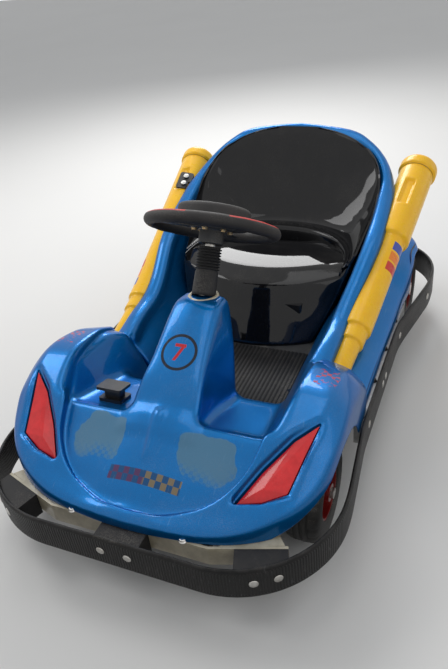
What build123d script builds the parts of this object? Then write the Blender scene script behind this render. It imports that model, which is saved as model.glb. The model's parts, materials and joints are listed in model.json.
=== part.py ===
"""Electric plaza kart: a moulded body on a low steel frame, ringed by a standing rubber belt.

Millimetres, +Z up. The nose points to -Y and the driver's left side is +X. The origin lies on the
ground at the middle of the belt's length and width.
"""
from build123d import *
import math
import os

os.makedirs("parts", exist_ok=True)

# Belt: outline of its outer face, half of it, from the nose round to the tail
kart_length = 1420.0
belt_front = -kart_length / 2
belt_rear = kart_length / 2
front_half_width = 422.0
waist_half_width = 404.0
rear_half_width = 451.0
front_corner_radius = 240.0
rear_corner_radius = 205.0
belt_bottom = 98.0
belt_height = 80.0
belt_thickness = 12.0
belt_lip_radius = 5.0
# Where the belt bends between nose, waist and tail, measured from its ends
front_bend = 270.0
waist_front = 470.0
waist_rear = 520.0
rear_bend = 270.0
belt_top = belt_bottom + belt_height

# Wheels
tyre_diameter = 228.0
tyre_width = 80.0
bead_radius = 62.0
wheel_radius = tyre_diameter / 2
rim_half_width = 34.0
front_axle_y = -400.0
rear_axle_y = 495.0
front_track_half = 325.0
rear_track_half = 345.0
hub_radius = 20.0
web_thickness = 6.0
barrel_thickness = 4.0
stub_radius = 8.5
axle_radius = 12.5
running_gap = 0.15
seat_gap = 0.3

# Steel frame: long rails over cross tubes
rail_x = 165.0
rail_width = 30.0
rail_bottom = 132.0
rail_height = 22.0
rail_top = rail_bottom + rail_height
cross_size = 22.0
cross_rows = [-150.0, 120.0, 300.0]
motor_cross_y = 385.0
tail_cross_y = 570.0
bar_outer_y = 655.0
bar_thickness = 6.0
bar_bottom = 118.0
bar_top = 166.0
block_top = 166.0
block_bottom = 108.0
block_length = 105.0
side_rail_width = 20.0
side_rail_bottom = 110.0
side_rail_top = 166.0
side_rail_front = -230.0
side_rail_rear = 330.0
pan_thickness = 3.0
pan_half_width = 225.0
pan_front = -250.0
pan_rear = 355.0
pan_top = rail_top + pan_thickness
mat_thickness = 4.0
mat_half_width = 193.0
mat_front = -249.0
mat_rear = 18.0

# Steering
kingpin_offset = 70.0
kingpin_x = front_track_half - kingpin_offset
kingpin_radius = 8.0
knuckle_radius = 12.0
ear_thickness = 8.0
knuckle_height = 40.0
steer_arm = 76.0
arm_width = 14.0
arm_bottom = 118.0
arm_thickness = 10.0
link_z = 168.0
link_radius = 6.0
stud_radius = 5.0
pitman_reach = 44.0
pitman_pin_x = 16.0
pitman_thickness = 7.0
beam_width = 26.0
ear_radius = 14.0
fork_web_gap = 8.0
bearing_radius = 20.0
column_tilt = 34.4
column_base = (0.0, -178.5, 429.4)
shaft_radius = 12.0
sleeve_radius = 28.0
sleeve_bore = 19.0
sleeve_length = 121.0
collar_radius = 35.0
collar_height = 9.0
rim_plane = 167.0
rim_centre_radius = 147.5
rim_tube_radius = 15.0
pad_radius = 87.0
pad_height = 48.0
hub_plate = 6.0

# Moulded body
wall = 5.0
body_gap = 0.6
nose_y = -661.0
seam_y = -165.0
floor_low = pan_top + seat_gap
body_low = side_rail_top + seat_gap
shelf_front_y = -447.0
shelf_front_z = 268.0
shelf_rear_y = -255.0
shelf_rear_z = 220.0
tail_y = 640.0
hoop_top = 605.0

tilt = math.radians(column_tilt)
column_axis = Vector(0, math.sin(tilt), math.cos(tilt))
column_rear = Vector(0, math.cos(tilt), -math.sin(tilt))


def column_point(along, rearward=0.0, across=0.0):
    """A point beside the steering column, measured along it from the console's top."""
    return Vector(*column_base) + column_axis * along + column_rear * rearward + Vector(across, 0, 0)


def column_plane(along):
    """The plane square to the column, its X across the kart and its Y towards the tail."""
    return Plane(origin=column_point(along), x_dir=(1, 0, 0), z_dir=column_axis)


def cross_section_plane(y):
    """An upright plane across the kart at y, whose local X and Y are the kart's X and Z."""
    return Plane.XZ.offset(-y)


def side_plane(x):
    """An upright plane along the kart at x, whose local X and Y are the kart's Y and Z."""
    return Plane.YZ.offset(x)


def save(part, name):
    part.label = name
    export_step(part, f"parts/{name}.step")


# Belt outline corners: x, y, corner radius
belt_corners = [
    (front_half_width, belt_front, front_corner_radius),
    (front_half_width, belt_front + front_bend, 500.0),
    (waist_half_width, belt_front + waist_front, 500.0),
    (waist_half_width, belt_rear - waist_rear, 500.0),
    (rear_half_width, belt_rear - rear_bend, 300.0),
    (rear_half_width, belt_rear, rear_corner_radius),
]
belt_half = [(0, belt_front)] + [(x, y) for x, y, r in belt_corners] + [(0, belt_rear)]
belt_radii = [r for x, y, r in belt_corners]

with BuildSketch() as belt_outline:
    with BuildLine():
        FilletPolyline(*belt_half, radius=belt_radii)
        mirror(about=Plane.YZ)
    make_face()

with BuildPart() as bumper_belt:
    with BuildSketch(Plane.XY.offset(belt_bottom)):
        add(belt_outline.sketch)
        offset(amount=-belt_thickness, mode=Mode.SUBTRACT)
    extrude(amount=belt_height)
    fillet(bumper_belt.edges().group_by(Axis.Z)[-1], belt_lip_radius)
save(bumper_belt.part, "bumper_belt")

# Long rails of the frame
for side, sign in (("left", 1), ("right", -1)):
    with BuildPart() as frame_rail:
        with BuildSketch(cross_section_plane(-bar_outer_y + bar_thickness)):
            with Locations((sign * rail_x, rail_bottom + rail_height / 2)):
                RectangleRounded(rail_width, rail_height, 3)
        extrude(amount=-2 * (bar_outer_y - bar_thickness))
    save(frame_rail.part, f"frame_rail_{side}")

# Cross tubes under the rails, out to the side rails where the belt is bolted
side_rail_inner = waist_half_width - belt_thickness - side_rail_width
with BuildPart() as frame_cross:
    for y in cross_rows:
        with BuildSketch(side_plane(-side_rail_inner)):
            with Locations((y, rail_bottom - cross_size / 2)):
                RectangleRounded(cross_size, cross_size, 3)
        extrude(amount=2 * side_rail_inner)
    for y in (motor_cross_y, tail_cross_y):
        with BuildSketch(side_plane(-rail_x - rail_width / 2)):
            with Locations((y, rail_bottom - cross_size / 2)):
                RectangleRounded(cross_size, cross_size, 3)
        extrude(amount=2 * rail_x + rail_width)
save(frame_cross.part, "frame_cross")

# Pale flat rails inside the belt
for side, sign in (("left", 1), ("right", -1)):
    with BuildPart() as side_rail:
        with BuildSketch(cross_section_plane(side_rail_front)):
            with Locations((sign * side_rail_inner, side_rail_bottom)):
                Rectangle(
                    side_rail_width,
                    side_rail_top - side_rail_bottom,
                    align=(Align.MIN if sign > 0 else Align.MAX, Align.MIN),
                )
        extrude(amount=side_rail_front - side_rail_rear)
    save(side_rail.part, f"side_rail_{side}")


def bent_bar_outline(straight_half, reach_x, setback, outer_y, sign_y):
    """The closed outline of a flat bar on edge: straight in the middle, both ends bent back."""
    slant = math.atan2(setback, reach_x - straight_half)
    inner_y = outer_y - sign_y * bar_thickness
    knee_x = straight_half - bar_thickness * math.tan(slant / 2)
    end = (reach_x - bar_thickness * math.sin(slant), inner_y - sign_y * setback)
    half = [(straight_half, outer_y), (reach_x, outer_y - sign_y * setback), end, (knee_x, inner_y)]
    return half + [(-x, y) for x, y in reversed(half)]


# Bent flat bars that carry the blocks: name, direction along Y, straight half, reach, setback
bar_rows = [
    ("front", -1, 185.0, 335.0, 49.0),
    ("rear", 1, 190.0, 290.0, 30.0),
]
gusset_thickness = 4.0
for name, sign_y, straight_half, reach_x, setback in bar_rows:
    outline = bent_bar_outline(straight_half, reach_x, setback, sign_y * bar_outer_y, sign_y)
    inner_y = sign_y * (bar_outer_y - bar_thickness)
    with BuildPart() as bumper_bar:
        with BuildSketch(Plane.XY.offset(bar_bottom)):
            with BuildLine():
                Polyline(*outline, close=True)
            make_face()
        extrude(amount=bar_top - bar_bottom)
        for sign in (1, -1):
            with BuildSketch(Plane.XY.offset(bar_top - gusset_thickness)):
                with BuildLine():
                    Polyline(
                        (sign * (straight_half + 20), inner_y - sign_y * 5),
                        (sign * (reach_x - 8), inner_y - sign_y * (setback - 1)),
                        (sign * (reach_x - 45), inner_y - sign_y * (setback + 40)),
                        (sign * (straight_half + 20), inner_y - sign_y * 30),
                        close=True,
                    )
                make_face()
            extrude(amount=gusset_thickness)
    save(bumper_bar.part, f"{name}_bumper_bar")

# Rubber blocks between bar and belt: the outer ones follow the belt's corners
with BuildSketch() as inside_belt:
    add(belt_outline.sketch)
    offset(amount=-belt_thickness - seat_gap, mode=Mode.REPLACE)

block_depth = 90.0
for name, sign_y, straight_half, reach_x, setback in bar_rows:
    slant = math.degrees(math.atan2(setback, reach_x - straight_half))
    with BuildPart() as bumper_blocks:
        with BuildSketch(Plane.XY.offset(block_bottom)):
            with Locations((0, sign_y * (bar_outer_y + seat_gap + block_depth / 2))):
                Rectangle(block_length, block_depth)
            lean = math.radians(slant)
            along = reach_x - block_length / 2 * math.cos(lean)
            out = bar_outer_y - (along - straight_half) * math.tan(lean)
            mid_x = along + (block_depth / 2 + seat_gap) * math.sin(lean)
            mid_y = out + (block_depth / 2 + seat_gap) * math.cos(lean)
            for sign in (1, -1):
                with Locations(Location((sign * mid_x, sign_y * mid_y), -sign * sign_y * slant)):
                    Rectangle(block_length, block_depth)
            add(inside_belt.sketch, mode=Mode.INTERSECT)
        extrude(amount=block_top - block_bottom)
    save(bumper_blocks.part, f"bumper_blocks_{name}")

# Floor sheet and ribbed mat
with BuildPart() as floor_pan:
    with BuildSketch(Plane.XY.offset(rail_top)):
        with Locations((0, (pan_front + pan_rear) / 2)):
            Rectangle(2 * pan_half_width, pan_rear - pan_front)
    extrude(amount=pan_thickness)
save(floor_pan.part, "floor_pan")

with BuildPart() as floor_mat:
    with BuildSketch(Plane.XY.offset(pan_top)):
        with Locations((0, (mat_front + mat_rear) / 2)):
            Rectangle(2 * mat_half_width, mat_rear - mat_front)
    extrude(amount=mat_thickness)
save(floor_mat.part, "floor_mat")

# Front axle: beam under the rails, a fork with its kingpin at each end, the shaft's lower bearing
fork_bottom = wheel_radius - knuckle_height / 2 - ear_thickness
fork_top = wheel_radius + knuckle_height / 2 + ear_thickness
fork_web_x = kingpin_x - knuckle_radius - fork_web_gap - ear_thickness
shaft_foot = -346.0
with BuildPart() as front_axle:
    with BuildSketch(side_plane(-fork_web_x - 1)):
        with Locations((front_axle_y, rail_bottom - cross_size / 2)):
            RectangleRounded(beam_width, cross_size, 3)
    extrude(amount=2 * fork_web_x + 2)
    for sign in (1, -1):
        with BuildSketch(Plane.XY.offset(fork_bottom)):
            with Locations((sign * (fork_web_x + kingpin_x) / 2, front_axle_y)):
                Rectangle(kingpin_x - fork_web_x, 2 * ear_radius)
            with Locations((sign * kingpin_x, front_axle_y)):
                Circle(ear_radius)
        extrude(amount=fork_top - fork_bottom)
        with BuildSketch(Plane.XY.offset(fork_bottom + ear_thickness)):
            with Locations((sign * (fork_web_x + ear_thickness + 50), front_axle_y)):
                Rectangle(100, 2 * ear_radius + 2)
        extrude(amount=knuckle_height, mode=Mode.SUBTRACT)
        with BuildSketch(Plane.XY.offset(fork_bottom)):
            with Locations((sign * kingpin_x, front_axle_y)):
                Circle(kingpin_radius)
        extrude(amount=fork_top - fork_bottom)
    with BuildSketch(Plane.XY.offset(rail_bottom - cross_size)):
        with Locations((0, front_axle_y + 17)):
            Rectangle(28, 34)
    extrude(amount=cross_size + 14)
    with BuildSketch(column_plane(shaft_foot - 2)):
        Circle(bearing_radius)
    extrude(amount=12)
    with BuildSketch(column_plane(shaft_foot - 3)):
        Circle(shaft_radius + running_gap)
    extrude(amount=40, mode=Mode.SUBTRACT)
save(front_axle.part, "front_axle")

# Knuckles: tube on the kingpin, stub axle, arm with the stud that carries the tie rod
stub_shoulder = front_track_half - 42.0
stub_end = front_track_half + 46.0
hub_inner = 41.7
hub_outer = 38.3
for side, sign in (("left", 1), ("right", -1)):
    tube_low = wheel_radius - knuckle_height / 2 + seat_gap
    with BuildPart() as knuckle:
        with BuildSketch(Plane.XY.offset(tube_low)):
            with Locations((sign * kingpin_x, front_axle_y)):
                Circle(knuckle_radius)
        extrude(amount=knuckle_height - 2 * seat_gap)
        stub_rows = [(kingpin_x, stub_shoulder, 12.0), (stub_shoulder, stub_end, stub_radius)]
        for start, end, radius in stub_rows:
            with BuildSketch(side_plane(sign * start)):
                with Locations((front_axle_y, wheel_radius)):
                    Circle(radius)
            extrude(amount=sign * (end - start))
        nut_start = front_track_half + hub_outer + seat_gap
        with BuildSketch(side_plane(sign * nut_start)):
            with Locations((front_axle_y, wheel_radius)):
                RegularPolygon(13, 6)
        extrude(amount=sign * 7)
        with BuildSketch(Plane.XY.offset(arm_bottom)):
            with Locations((sign * kingpin_x, front_axle_y + steer_arm / 2)):
                Rectangle(arm_width, steer_arm)
            with Locations((sign * kingpin_x, front_axle_y + steer_arm)):
                Circle(9)
        extrude(amount=arm_thickness)
        post_top = link_z - link_radius - 1 - seat_gap
        for radius, bottom, top in ((9.0, arm_bottom, post_top), (stud_radius, arm_bottom, link_z + 12)):
            with BuildSketch(Plane.XY.offset(bottom)):
                with Locations((sign * kingpin_x, front_axle_y + steer_arm)):
                    Circle(radius)
            extrude(amount=top - bottom)
        with BuildSketch(Plane.XY.offset(tube_low)):
            with Locations((sign * kingpin_x, front_axle_y)):
                Circle(kingpin_radius + running_gap)
        extrude(amount=knuckle_height, mode=Mode.SUBTRACT)
    save(knuckle.part, f"knuckle_{side}")

# Tie rods: an eye on the knuckle's stud, a joint housing over the pitman plate
pitman_top = shaft_foot + 16 + pitman_thickness
pitman_pin = column_point(pitman_top, pitman_reach)
for side, sign in (("left", 1), ("right", -1)):
    outer = Vector(sign * kingpin_x, front_axle_y + steer_arm, link_z)
    inner = Vector(sign * pitman_pin_x, pitman_pin.Y, link_z)
    with BuildPart() as tie_rod:
        with BuildSketch(Plane(origin=outer, z_dir=inner - outer)):
            Circle(link_radius)
        extrude(amount=(inner - outer).length)
        for point, radius, half_height in ((outer, 13.0, link_radius + 1), (inner, 9.0, link_radius + 2)):
            with BuildSketch(Plane.XY.offset(link_z - half_height)):
                with Locations((point.X, point.Y)):
                    Circle(radius)
            extrude(amount=2 * half_height)
        with BuildSketch(Plane.XY.offset(link_z - 20)):
            with Locations((outer.X, outer.Y)):
                Circle(stud_radius + running_gap)
        extrude(amount=40, mode=Mode.SUBTRACT)
    save(tie_rod.part, f"tie_rod_{side}")

# Steering column: shaft with its pitman plate, hub with spokes, rim and pad
with BuildPart() as steering_shaft:
    with BuildSketch(column_plane(shaft_foot)):
        Circle(shaft_radius)
    extrude(amount=rim_plane - hub_plate - shaft_foot)
    with BuildSketch(column_plane(pitman_top - pitman_thickness)):
        Circle(shaft_radius + 6)
        with Locations((pitman_pin_x, pitman_reach), (-pitman_pin_x, pitman_reach)):
            Circle(10)
        make_hull()
    extrude(amount=pitman_thickness)
save(steering_shaft.part, "steering_shaft")

boss_radius = 30.0
boss_start = sleeve_length + 6
spoke_width = 26.0
with BuildPart() as steering_hub:
    with BuildSketch(column_plane(boss_start)):
        Circle(boss_radius)
        Circle(shaft_radius + 0.05, mode=Mode.SUBTRACT)
    extrude(amount=rim_plane - hub_plate - boss_start)
    with BuildSketch(column_plane(rim_plane - hub_plate)):
        Circle(52)
        with PolarLocations(0, 3, start_angle=90):
            with Locations((rim_centre_radius / 2, 0)):
                Rectangle(rim_centre_radius, spoke_width)
    extrude(amount=hub_plate)
    with BuildSketch(column_plane(rim_plane - hub_plate)):
        Circle(rim_centre_radius + 40)
        Circle(rim_centre_radius - rim_tube_radius - 0.2, mode=Mode.SUBTRACT)
    extrude(amount=hub_plate, mode=Mode.SUBTRACT)
save(steering_hub.part, "steering_hub")

rim_section = Plane(origin=column_point(rim_plane), x_dir=(1, 0, 0), z_dir=-column_rear)
with BuildPart() as steering_rim:
    with BuildSketch(rim_section):
        with Locations((rim_centre_radius, 0)):
            Circle(rim_tube_radius)
    revolve(axis=Axis(column_point(rim_plane), column_axis))
save(steering_rim.part, "steering_rim")

with BuildPart() as steering_pad:
    with BuildSketch(column_plane(rim_plane + seat_gap)):
        Circle(pad_radius)
    extrude(amount=pad_height)
    fillet(steering_pad.edges().filter_by(GeomType.CIRCLE), 10)
    with BuildSketch(column_plane(rim_plane + seat_gap + pad_height - 5)):
        Circle(9)
    extrude(amount=6, mode=Mode.SUBTRACT)
save(steering_pad.part, "steering_pad")

with BuildPart() as column_collar:
    with BuildSketch(column_plane(seat_gap)):
        Circle(collar_radius)
        Circle(sleeve_bore, mode=Mode.SUBTRACT)
    extrude(amount=collar_height)
    fillet(column_collar.edges().group_by(SortBy.LENGTH)[-1], 3)
save(column_collar.part, "column_collar")

with BuildPart() as column_sleeve:
    with BuildSketch(column_plane(seat_gap + collar_height)):
        Circle(sleeve_radius)
        Circle(sleeve_bore, mode=Mode.SUBTRACT)
    extrude(amount=sleeve_length - collar_height - seat_gap)
save(column_sleeve.part, "column_sleeve")


def wheel_plane(x, y):
    """The upright plane through a wheel's centre, local X across the kart and local Y upwards."""
    return Plane(origin=(x, y, wheel_radius), x_dir=(1, 0, 0), z_dir=(0, -1, 0))


def wheel_axis(y):
    return Axis((0, y, wheel_radius), (1, 0, 0))


# Wheels: name, centre x, centre y, bore radius of the hub
wheel_rows = [
    ("front", front_track_half, front_axle_y, stub_radius + running_gap),
    ("rear", rear_track_half, rear_axle_y, axle_radius + 0.05),
]
lip = 3.0
lip_height = 4.0
shoulder_x = 33.0
shoulder_r = 104.0
bulge_r = 86.0
bead = rim_half_width - lip - seat_gap
seat_r = bead_radius + lip_height + 2
web_x = 3.0
for name, track_half, axle_y, bore in wheel_rows:
    for side, sign in (("left", 1), ("right", -1)):
        with BuildPart() as tyre:
            with BuildSketch(wheel_plane(sign * track_half, axle_y)):
                with BuildLine():
                    Polyline(
                        (-shoulder_x, shoulder_r),
                        (-tyre_width / 2, bulge_r),
                        (-bead, seat_r),
                        (-bead, bead_radius + seat_gap),
                        (bead, bead_radius + seat_gap),
                        (bead, seat_r),
                        (tyre_width / 2, bulge_r),
                        (shoulder_x, shoulder_r),
                    )
                    ThreePointArc((shoulder_x, shoulder_r), (0, wheel_radius), (-shoulder_x, shoulder_r))
                make_face()
            revolve(axis=wheel_axis(axle_y))
        save(tyre.part, f"{name}_tyre_{side}")
        inside = bead_radius - barrel_thickness
        profile = [
            (-rim_half_width, bead_radius + lip_height),
            (lip - rim_half_width, bead_radius + lip_height),
            (lip - rim_half_width, bead_radius),
            (rim_half_width - lip, bead_radius),
            (rim_half_width - lip, bead_radius + lip_height),
            (rim_half_width, bead_radius + lip_height),
            (rim_half_width, inside),
            (web_x + web_thickness, inside),
            (web_x + web_thickness, hub_radius),
            (hub_outer, hub_radius),
            (hub_outer, bore),
            (-hub_inner, bore),
            (-hub_inner, hub_radius),
            (web_x, hub_radius),
            (web_x, inside),
            (-rim_half_width, inside),
        ]
        with BuildPart() as wheel_rim:
            with BuildSketch(wheel_plane(sign * track_half, axle_y)):
                with BuildLine():
                    Polyline(*[(sign * x, r) for x, r in profile], close=True)
                make_face()
            revolve(axis=wheel_axis(axle_y))
        save(wheel_rim.part, f"{name}_rim_{side}")

with BuildPart() as rear_axle:
    axle_half = rear_track_half + hub_outer
    with BuildSketch(side_plane(-axle_half)):
        with Locations((rear_axle_y, wheel_radius)):
            Circle(axle_radius)
    extrude(amount=2 * axle_half)
save(rear_axle.part, "rear_axle")

# Two hangers under the rails hold the rear axle
hanger_thickness = 12.0
with BuildPart() as axle_bearings:
    for sign in (1, -1):
        with BuildSketch(side_plane(sign * rail_x - hanger_thickness / 2)):
            with Locations((rear_axle_y, wheel_radius)):
                Circle(28)
            with Locations((rear_axle_y, (wheel_radius + rail_bottom) / 2)):
                Rectangle(56, rail_bottom - wheel_radius)
            with Locations((rear_axle_y, rail_bottom)):
                Rectangle(80, 30, align=(Align.CENTER, Align.MIN), mode=Mode.SUBTRACT)
            with Locations((rear_axle_y, wheel_radius)):
                Circle(axle_radius + running_gap, mode=Mode.SUBTRACT)
        extrude(amount=hanger_thickness)
save(axle_bearings.part, "axle_bearings")

# Heavy masses: motor with the case that drives the axle, and the battery on the floor sheet
motor_top = 250.0
motor_size = (190, 110)
motor_y = rear_axle_y - 72
case_size = (110, 150)
case_inner_x = 60.0
case_width = 40.0
case_z = 165.0
with BuildPart() as drive_motor:
    with BuildSketch(Plane.XY.offset(rail_bottom)):
        with Locations((0, motor_y)):
            RectangleRounded(*motor_size, 12)
    extrude(amount=motor_top - rail_bottom)
    with BuildSketch(side_plane(case_inner_x)):
        with Locations((rear_axle_y - 30, case_z)):
            RectangleRounded(*case_size, 20)
    extrude(amount=case_width)
    with BuildSketch(side_plane(case_inner_x - 10)):
        with Locations((rear_axle_y, wheel_radius)):
            Circle(axle_radius + running_gap)
    extrude(amount=case_width + 20, mode=Mode.SUBTRACT)
save(drive_motor.part, "drive_motor")

battery_size = (300, 180)
battery_height = 105.0
battery_y = 182.0
with BuildPart() as battery_box:
    with BuildSketch(Plane.XY.offset(pan_top)):
        with Locations((0, battery_y)):
            RectangleRounded(*battery_size, 8)
    extrude(amount=battery_height)
save(battery_box.part, "battery_box")


def half_section(y, points):
    """A closed outline across one half of the kart at y."""
    with BuildSketch(cross_section_plane(y)) as section:
        with BuildLine():
            Polyline(*points, close=True)
        make_face()
    return section.sketch


def side_profile(points, reach):
    """A closed outline seen from the side, made into a block from the middle out to reach."""
    with BuildPart() as block:
        with BuildSketch(side_plane(-reach)):
            with BuildLine():
                Polyline(*points, close=True)
            make_face()
        extrude(amount=2 * reach)
    return block.part


# Front body, one half: y, then x and z of the side, the shoulder, the crest, the edge inside the
# crest and the panel's crown, and the height on the middle line
deep = 100.0
front_rows = [
    (nose_y, 300, 168, 262, 178, 190, 186, 150, 185, 60, 186, 188),
    (-636, 312, 180, 272, 195, 62, 193, 50, 191, 25, 192, 194),
    (-616, 318, 188, 280, 205, 115, 199, 101, 194, 50, 199, 202),
    (-600, 322, 193, 285, 211, 152, 208, 136, 201, 60, 208, 212),
    (-560, 335, 203, 300, 226, 204, 233, 188, 220, 80, 229, 236),
    (-500, 356, 234, 318, 263, 234, 270, 216, 252, 84, 260, 271),
    (shelf_front_y, 374, 262, 330, 296, 250, 302, 236, 282, 83, 288, 301),
    (-340, 388, 290, 352, 332, 284, 336, 270, 325, 80, 320, 320),
    (-240, 388, 270, 352, 315, 290, 324, 278, 318, 80, 310, 310),
    (seam_y - body_gap, 386, 225, 345, 270, 292, 284, 280, 279, 80, 281, 284),
]
# Lower edge of the nose seen from above
nose_plan = [
    (0, nose_y),
    (59, -658),
    (166, -644),
    (233, -632),
    (269, -600),
    (323, -545),
    (342, -489),
    (372, -440),
    (388, -380),
    (388, seam_y - body_gap),
    (0, seam_y - body_gap),
]


def front_outline(row, inset):
    """One section of the front body, drawn in by inset."""
    y, side_x, side_z, top_x, top_z, crest_x, crest_z, in_x, in_z, crown_x, crown_z, mid_z = row
    return [
        (0, deep),
        (side_x - inset, deep),
        (side_x - inset, side_z - 0.5 * inset),
        (top_x - 0.8 * inset, top_z - inset),
        (crest_x - 0.2 * inset, crest_z - 1.2 * inset),
        (in_x, in_z - inset),
        (crown_x, crown_z - inset),
        (0, mid_z - inset),
    ]


def front_block(inset):
    """The front body's bulk, without footwells: lofted sections trimmed to the nose's plan."""
    with BuildPart() as block:
        for row in front_rows:
            add(half_section(row[0], front_outline(row, inset)))
        loft(ruled=True)
        with BuildSketch(Plane.XY.offset(deep)) as plan:
            with BuildLine():
                Polyline(*nose_plan, close=True)
            make_face()
            if inset:
                offset(amount=-inset, kind=Kind.INTERSECTION, mode=Mode.REPLACE)
                with Locations((0, (nose_y + seam_y - body_gap) / 2)):
                    Rectangle(60, seam_y - body_gap - nose_y - 2 * inset, align=(Align.MIN, Align.CENTER))
        extrude(amount=500, mode=Mode.INTERSECT)
    return block.part


# Footwells: side wall by height, then the foot shelf and the drop to the floor seen from the side
well_wall = [(195, 50), (195, 161), (215, 220), (238, 268), (266, 320), (277, 345), (300, 480)]
shelf_ramp_y = -438.0


def footwell_block(grow):
    """The room for the feet across the whole front, its walls moved out by grow."""
    wall_line = [(x + grow, z) for x, z in well_wall]
    with BuildPart() as block:
        with BuildSketch(cross_section_plane(shelf_front_y - 20)):
            with BuildLine():
                Polyline((0, 50), *wall_line, (0, 480), close=True)
            make_face()
        extrude(amount=shelf_front_y - 20 - seam_y - 60)
        profile = [
            (shelf_front_y - 8 - grow, 480),
            (shelf_front_y - grow, shelf_front_z + 10),
            (shelf_ramp_y - grow, shelf_front_z - grow),
            (shelf_rear_y - 7 - grow, shelf_rear_z - grow),
            (shelf_rear_y - grow, 50),
            (seam_y + 80, 50),
            (seam_y + 80, 480),
        ]
        add(side_profile(profile, 400), mode=Mode.INTERSECT)
    return block.part


# Console: y, half width at the ridge, ridge height, middle height, half width at the foot
console_rows = [
    (-470, 84, 278, 290, 88),
    (shelf_front_y, 83, 289, 303, 88),
    (-385, 75, 338, 344, 86),
    (-340, 65, 366, 372, 90),
    (-230, 57, 426, 434, 100),
    (-212, 56, 430, 438, 103),
    (-130, 52, 420, 424, 112),
]


def console_block(inset):
    """The wedge between the footwells, its faces moved in by inset."""
    with BuildPart() as block:
        for y, ridge_x, ridge_z, mid_z, foot_x in console_rows:
            outline = [
                (0, deep),
                (foot_x + 12 - inset, deep),
                (foot_x - inset, 240),
                (ridge_x - inset, ridge_z - inset),
                (0, mid_z - inset),
            ]
            add(half_section(y, outline))
        loft(ruled=True)
        profile = [
            (-470, deep),
            (-470, 480),
            (-118 - inset, 480),
            (-262 - inset, 214),
            (shelf_rear_y - inset, deep),
        ]
        add(side_profile(profile, 400), mode=Mode.INTERSECT)
    return block.part


# Lens corners of the headlamp, on a plane that leans forward
lens_corners = [(346, -412), (330, -470), (315, -538), (268, -558), (217, -569), (262, -500), (305, -445)]
lens_plane = Plane(origin=(281, -490, 261), x_dir=(1, 0, 0.09), z_dir=(-0.079, -0.50, 0.862))


def lens_drop(x, y):
    """Where the upright line at x and y meets the lens plane, in that plane's own X and Y."""
    normal = lens_plane.z_dir
    rise = -(normal.X * (x - 281) + normal.Y * (y + 490)) / normal.Z
    local = lens_plane.to_local_coords(Vector(x, y, 261 + rise))
    return (local.X, local.Y)


lens_outline = [lens_drop(x, y) for x, y in lens_corners]
lens_depth = 12.0
lens_gap = 3.0
lens_sky = 60.0


def lens_block(grow, low, high):
    """A block over the lens outline, grown sideways, between two heights along the lens plane."""
    with BuildPart() as block:
        with BuildSketch(lens_plane.offset(low)):
            with BuildLine():
                Polyline(*lens_outline, close=True)
            make_face()
            if grow:
                offset(amount=grow, kind=Kind.INTERSECTION)
        extrude(amount=high - low)
    return block.part


with BuildPart() as front_void:
    add(front_block(wall))
    add(footwell_block(wall), mode=Mode.SUBTRACT)
    add(console_block(wall))
    add(lens_block(lens_gap + wall, -lens_depth - wall, lens_sky), mode=Mode.SUBTRACT)

arch_profile = [
    (-700, 50),
    (-625, 150),
    (-600, body_low),
    (-536, 200),
    (-468, 226),
    (-430, 246),
    (-400, 254),
    (-350, 251),
    (-310, 236),
    (-275, 205),
    (-252, body_low),
    (-250, 50),
]
arch_inner_x = 228.0
nose_flange = [(0, nose_y + 2), (59, -656), (166, -642), (228, -631), (222, -612), (0, -640)]
with BuildPart() as body_front:
    add(front_block(0))
    add(footwell_block(0), mode=Mode.SUBTRACT)
    add(console_block(0))
    add(front_void.part, mode=Mode.SUBTRACT)
    with BuildSketch(Plane.XY.offset(deep - 10)):
        with Locations((-1, nose_y - 5)):
            Rectangle(500, 700, align=(Align.MIN, Align.MIN))
    extrude(amount=floor_low - deep + 10, mode=Mode.SUBTRACT)
    with BuildSketch(Plane.XY.offset(deep)):
        with Locations((-1, nose_y - 5)):
            Rectangle(500, shelf_rear_y - 12 - nose_y + 5, align=(Align.MIN, Align.MIN))
        with Locations((arch_inner_x, nose_y - 5)):
            Rectangle(500, 700, align=(Align.MIN, Align.MIN))
    extrude(amount=body_low - deep, mode=Mode.SUBTRACT)
    with BuildSketch(side_plane(arch_inner_x)):
        with BuildLine():
            Polyline(*arch_profile, close=True)
        make_face()
    extrude(amount=200, mode=Mode.SUBTRACT)
    with BuildSketch(Plane.XY.offset(body_low)):
        with BuildLine():
            Polyline(*nose_flange, close=True)
        make_face()
    extrude(amount=4)
    add(lens_block(lens_gap, -lens_depth, lens_sky), mode=Mode.SUBTRACT)
    mirror(about=Plane.YZ)
    with BuildSketch(column_plane(-24)):
        Circle(collar_radius + 2)
    extrude(amount=24)
    with BuildSketch(column_plane(-70)):
        Circle(sleeve_bore)
    extrude(amount=90, mode=Mode.SUBTRACT)
    with BuildSketch(column_plane(0)):
        Circle(collar_radius + body_gap)
    extrude(amount=60, mode=Mode.SUBTRACT)
save(body_front.part, "body_front")

# Headlamps: a faceted red block in each pocket
for side in ("left", "right"):
    with BuildPart() as headlamp:
        add(lens_block(0, -lens_depth + seat_gap, 0))
        if side == "right":
            mirror(about=Plane.YZ, mode=Mode.REPLACE)
    save(headlamp.part, f"headlamp_{side}")

# Rear body, one half: y, then x and z of the skirt's edge, x and z of the ledge's inner edge,
# x of the wall at the rim
rear_rows = [
    (seam_y, 386, 186, 300, 206, 293),
    (43, 385, 188, 306, 214, 297),
    (160, 387, 192, 318, 224, 315),
    (300, 390, 205, 334, 238, 330),
    (400, 396, 240, 337, 262, 330),
    (tail_y, 398, 258, 337, 274, 330),
]
# Height of the cockpit's rim along its length
rim_profile = [
    (seam_y, 270),
    (-76, 280),
    (11, 286),
    (80, 308),
    (138, 337),
    (195, 367),
    (266, 396),
    (349, 422),
    (433, 452),
    (521, 490),
    (575, 535),
    (600, hoop_top),
    (tail_y, hoop_top),
]
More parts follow.
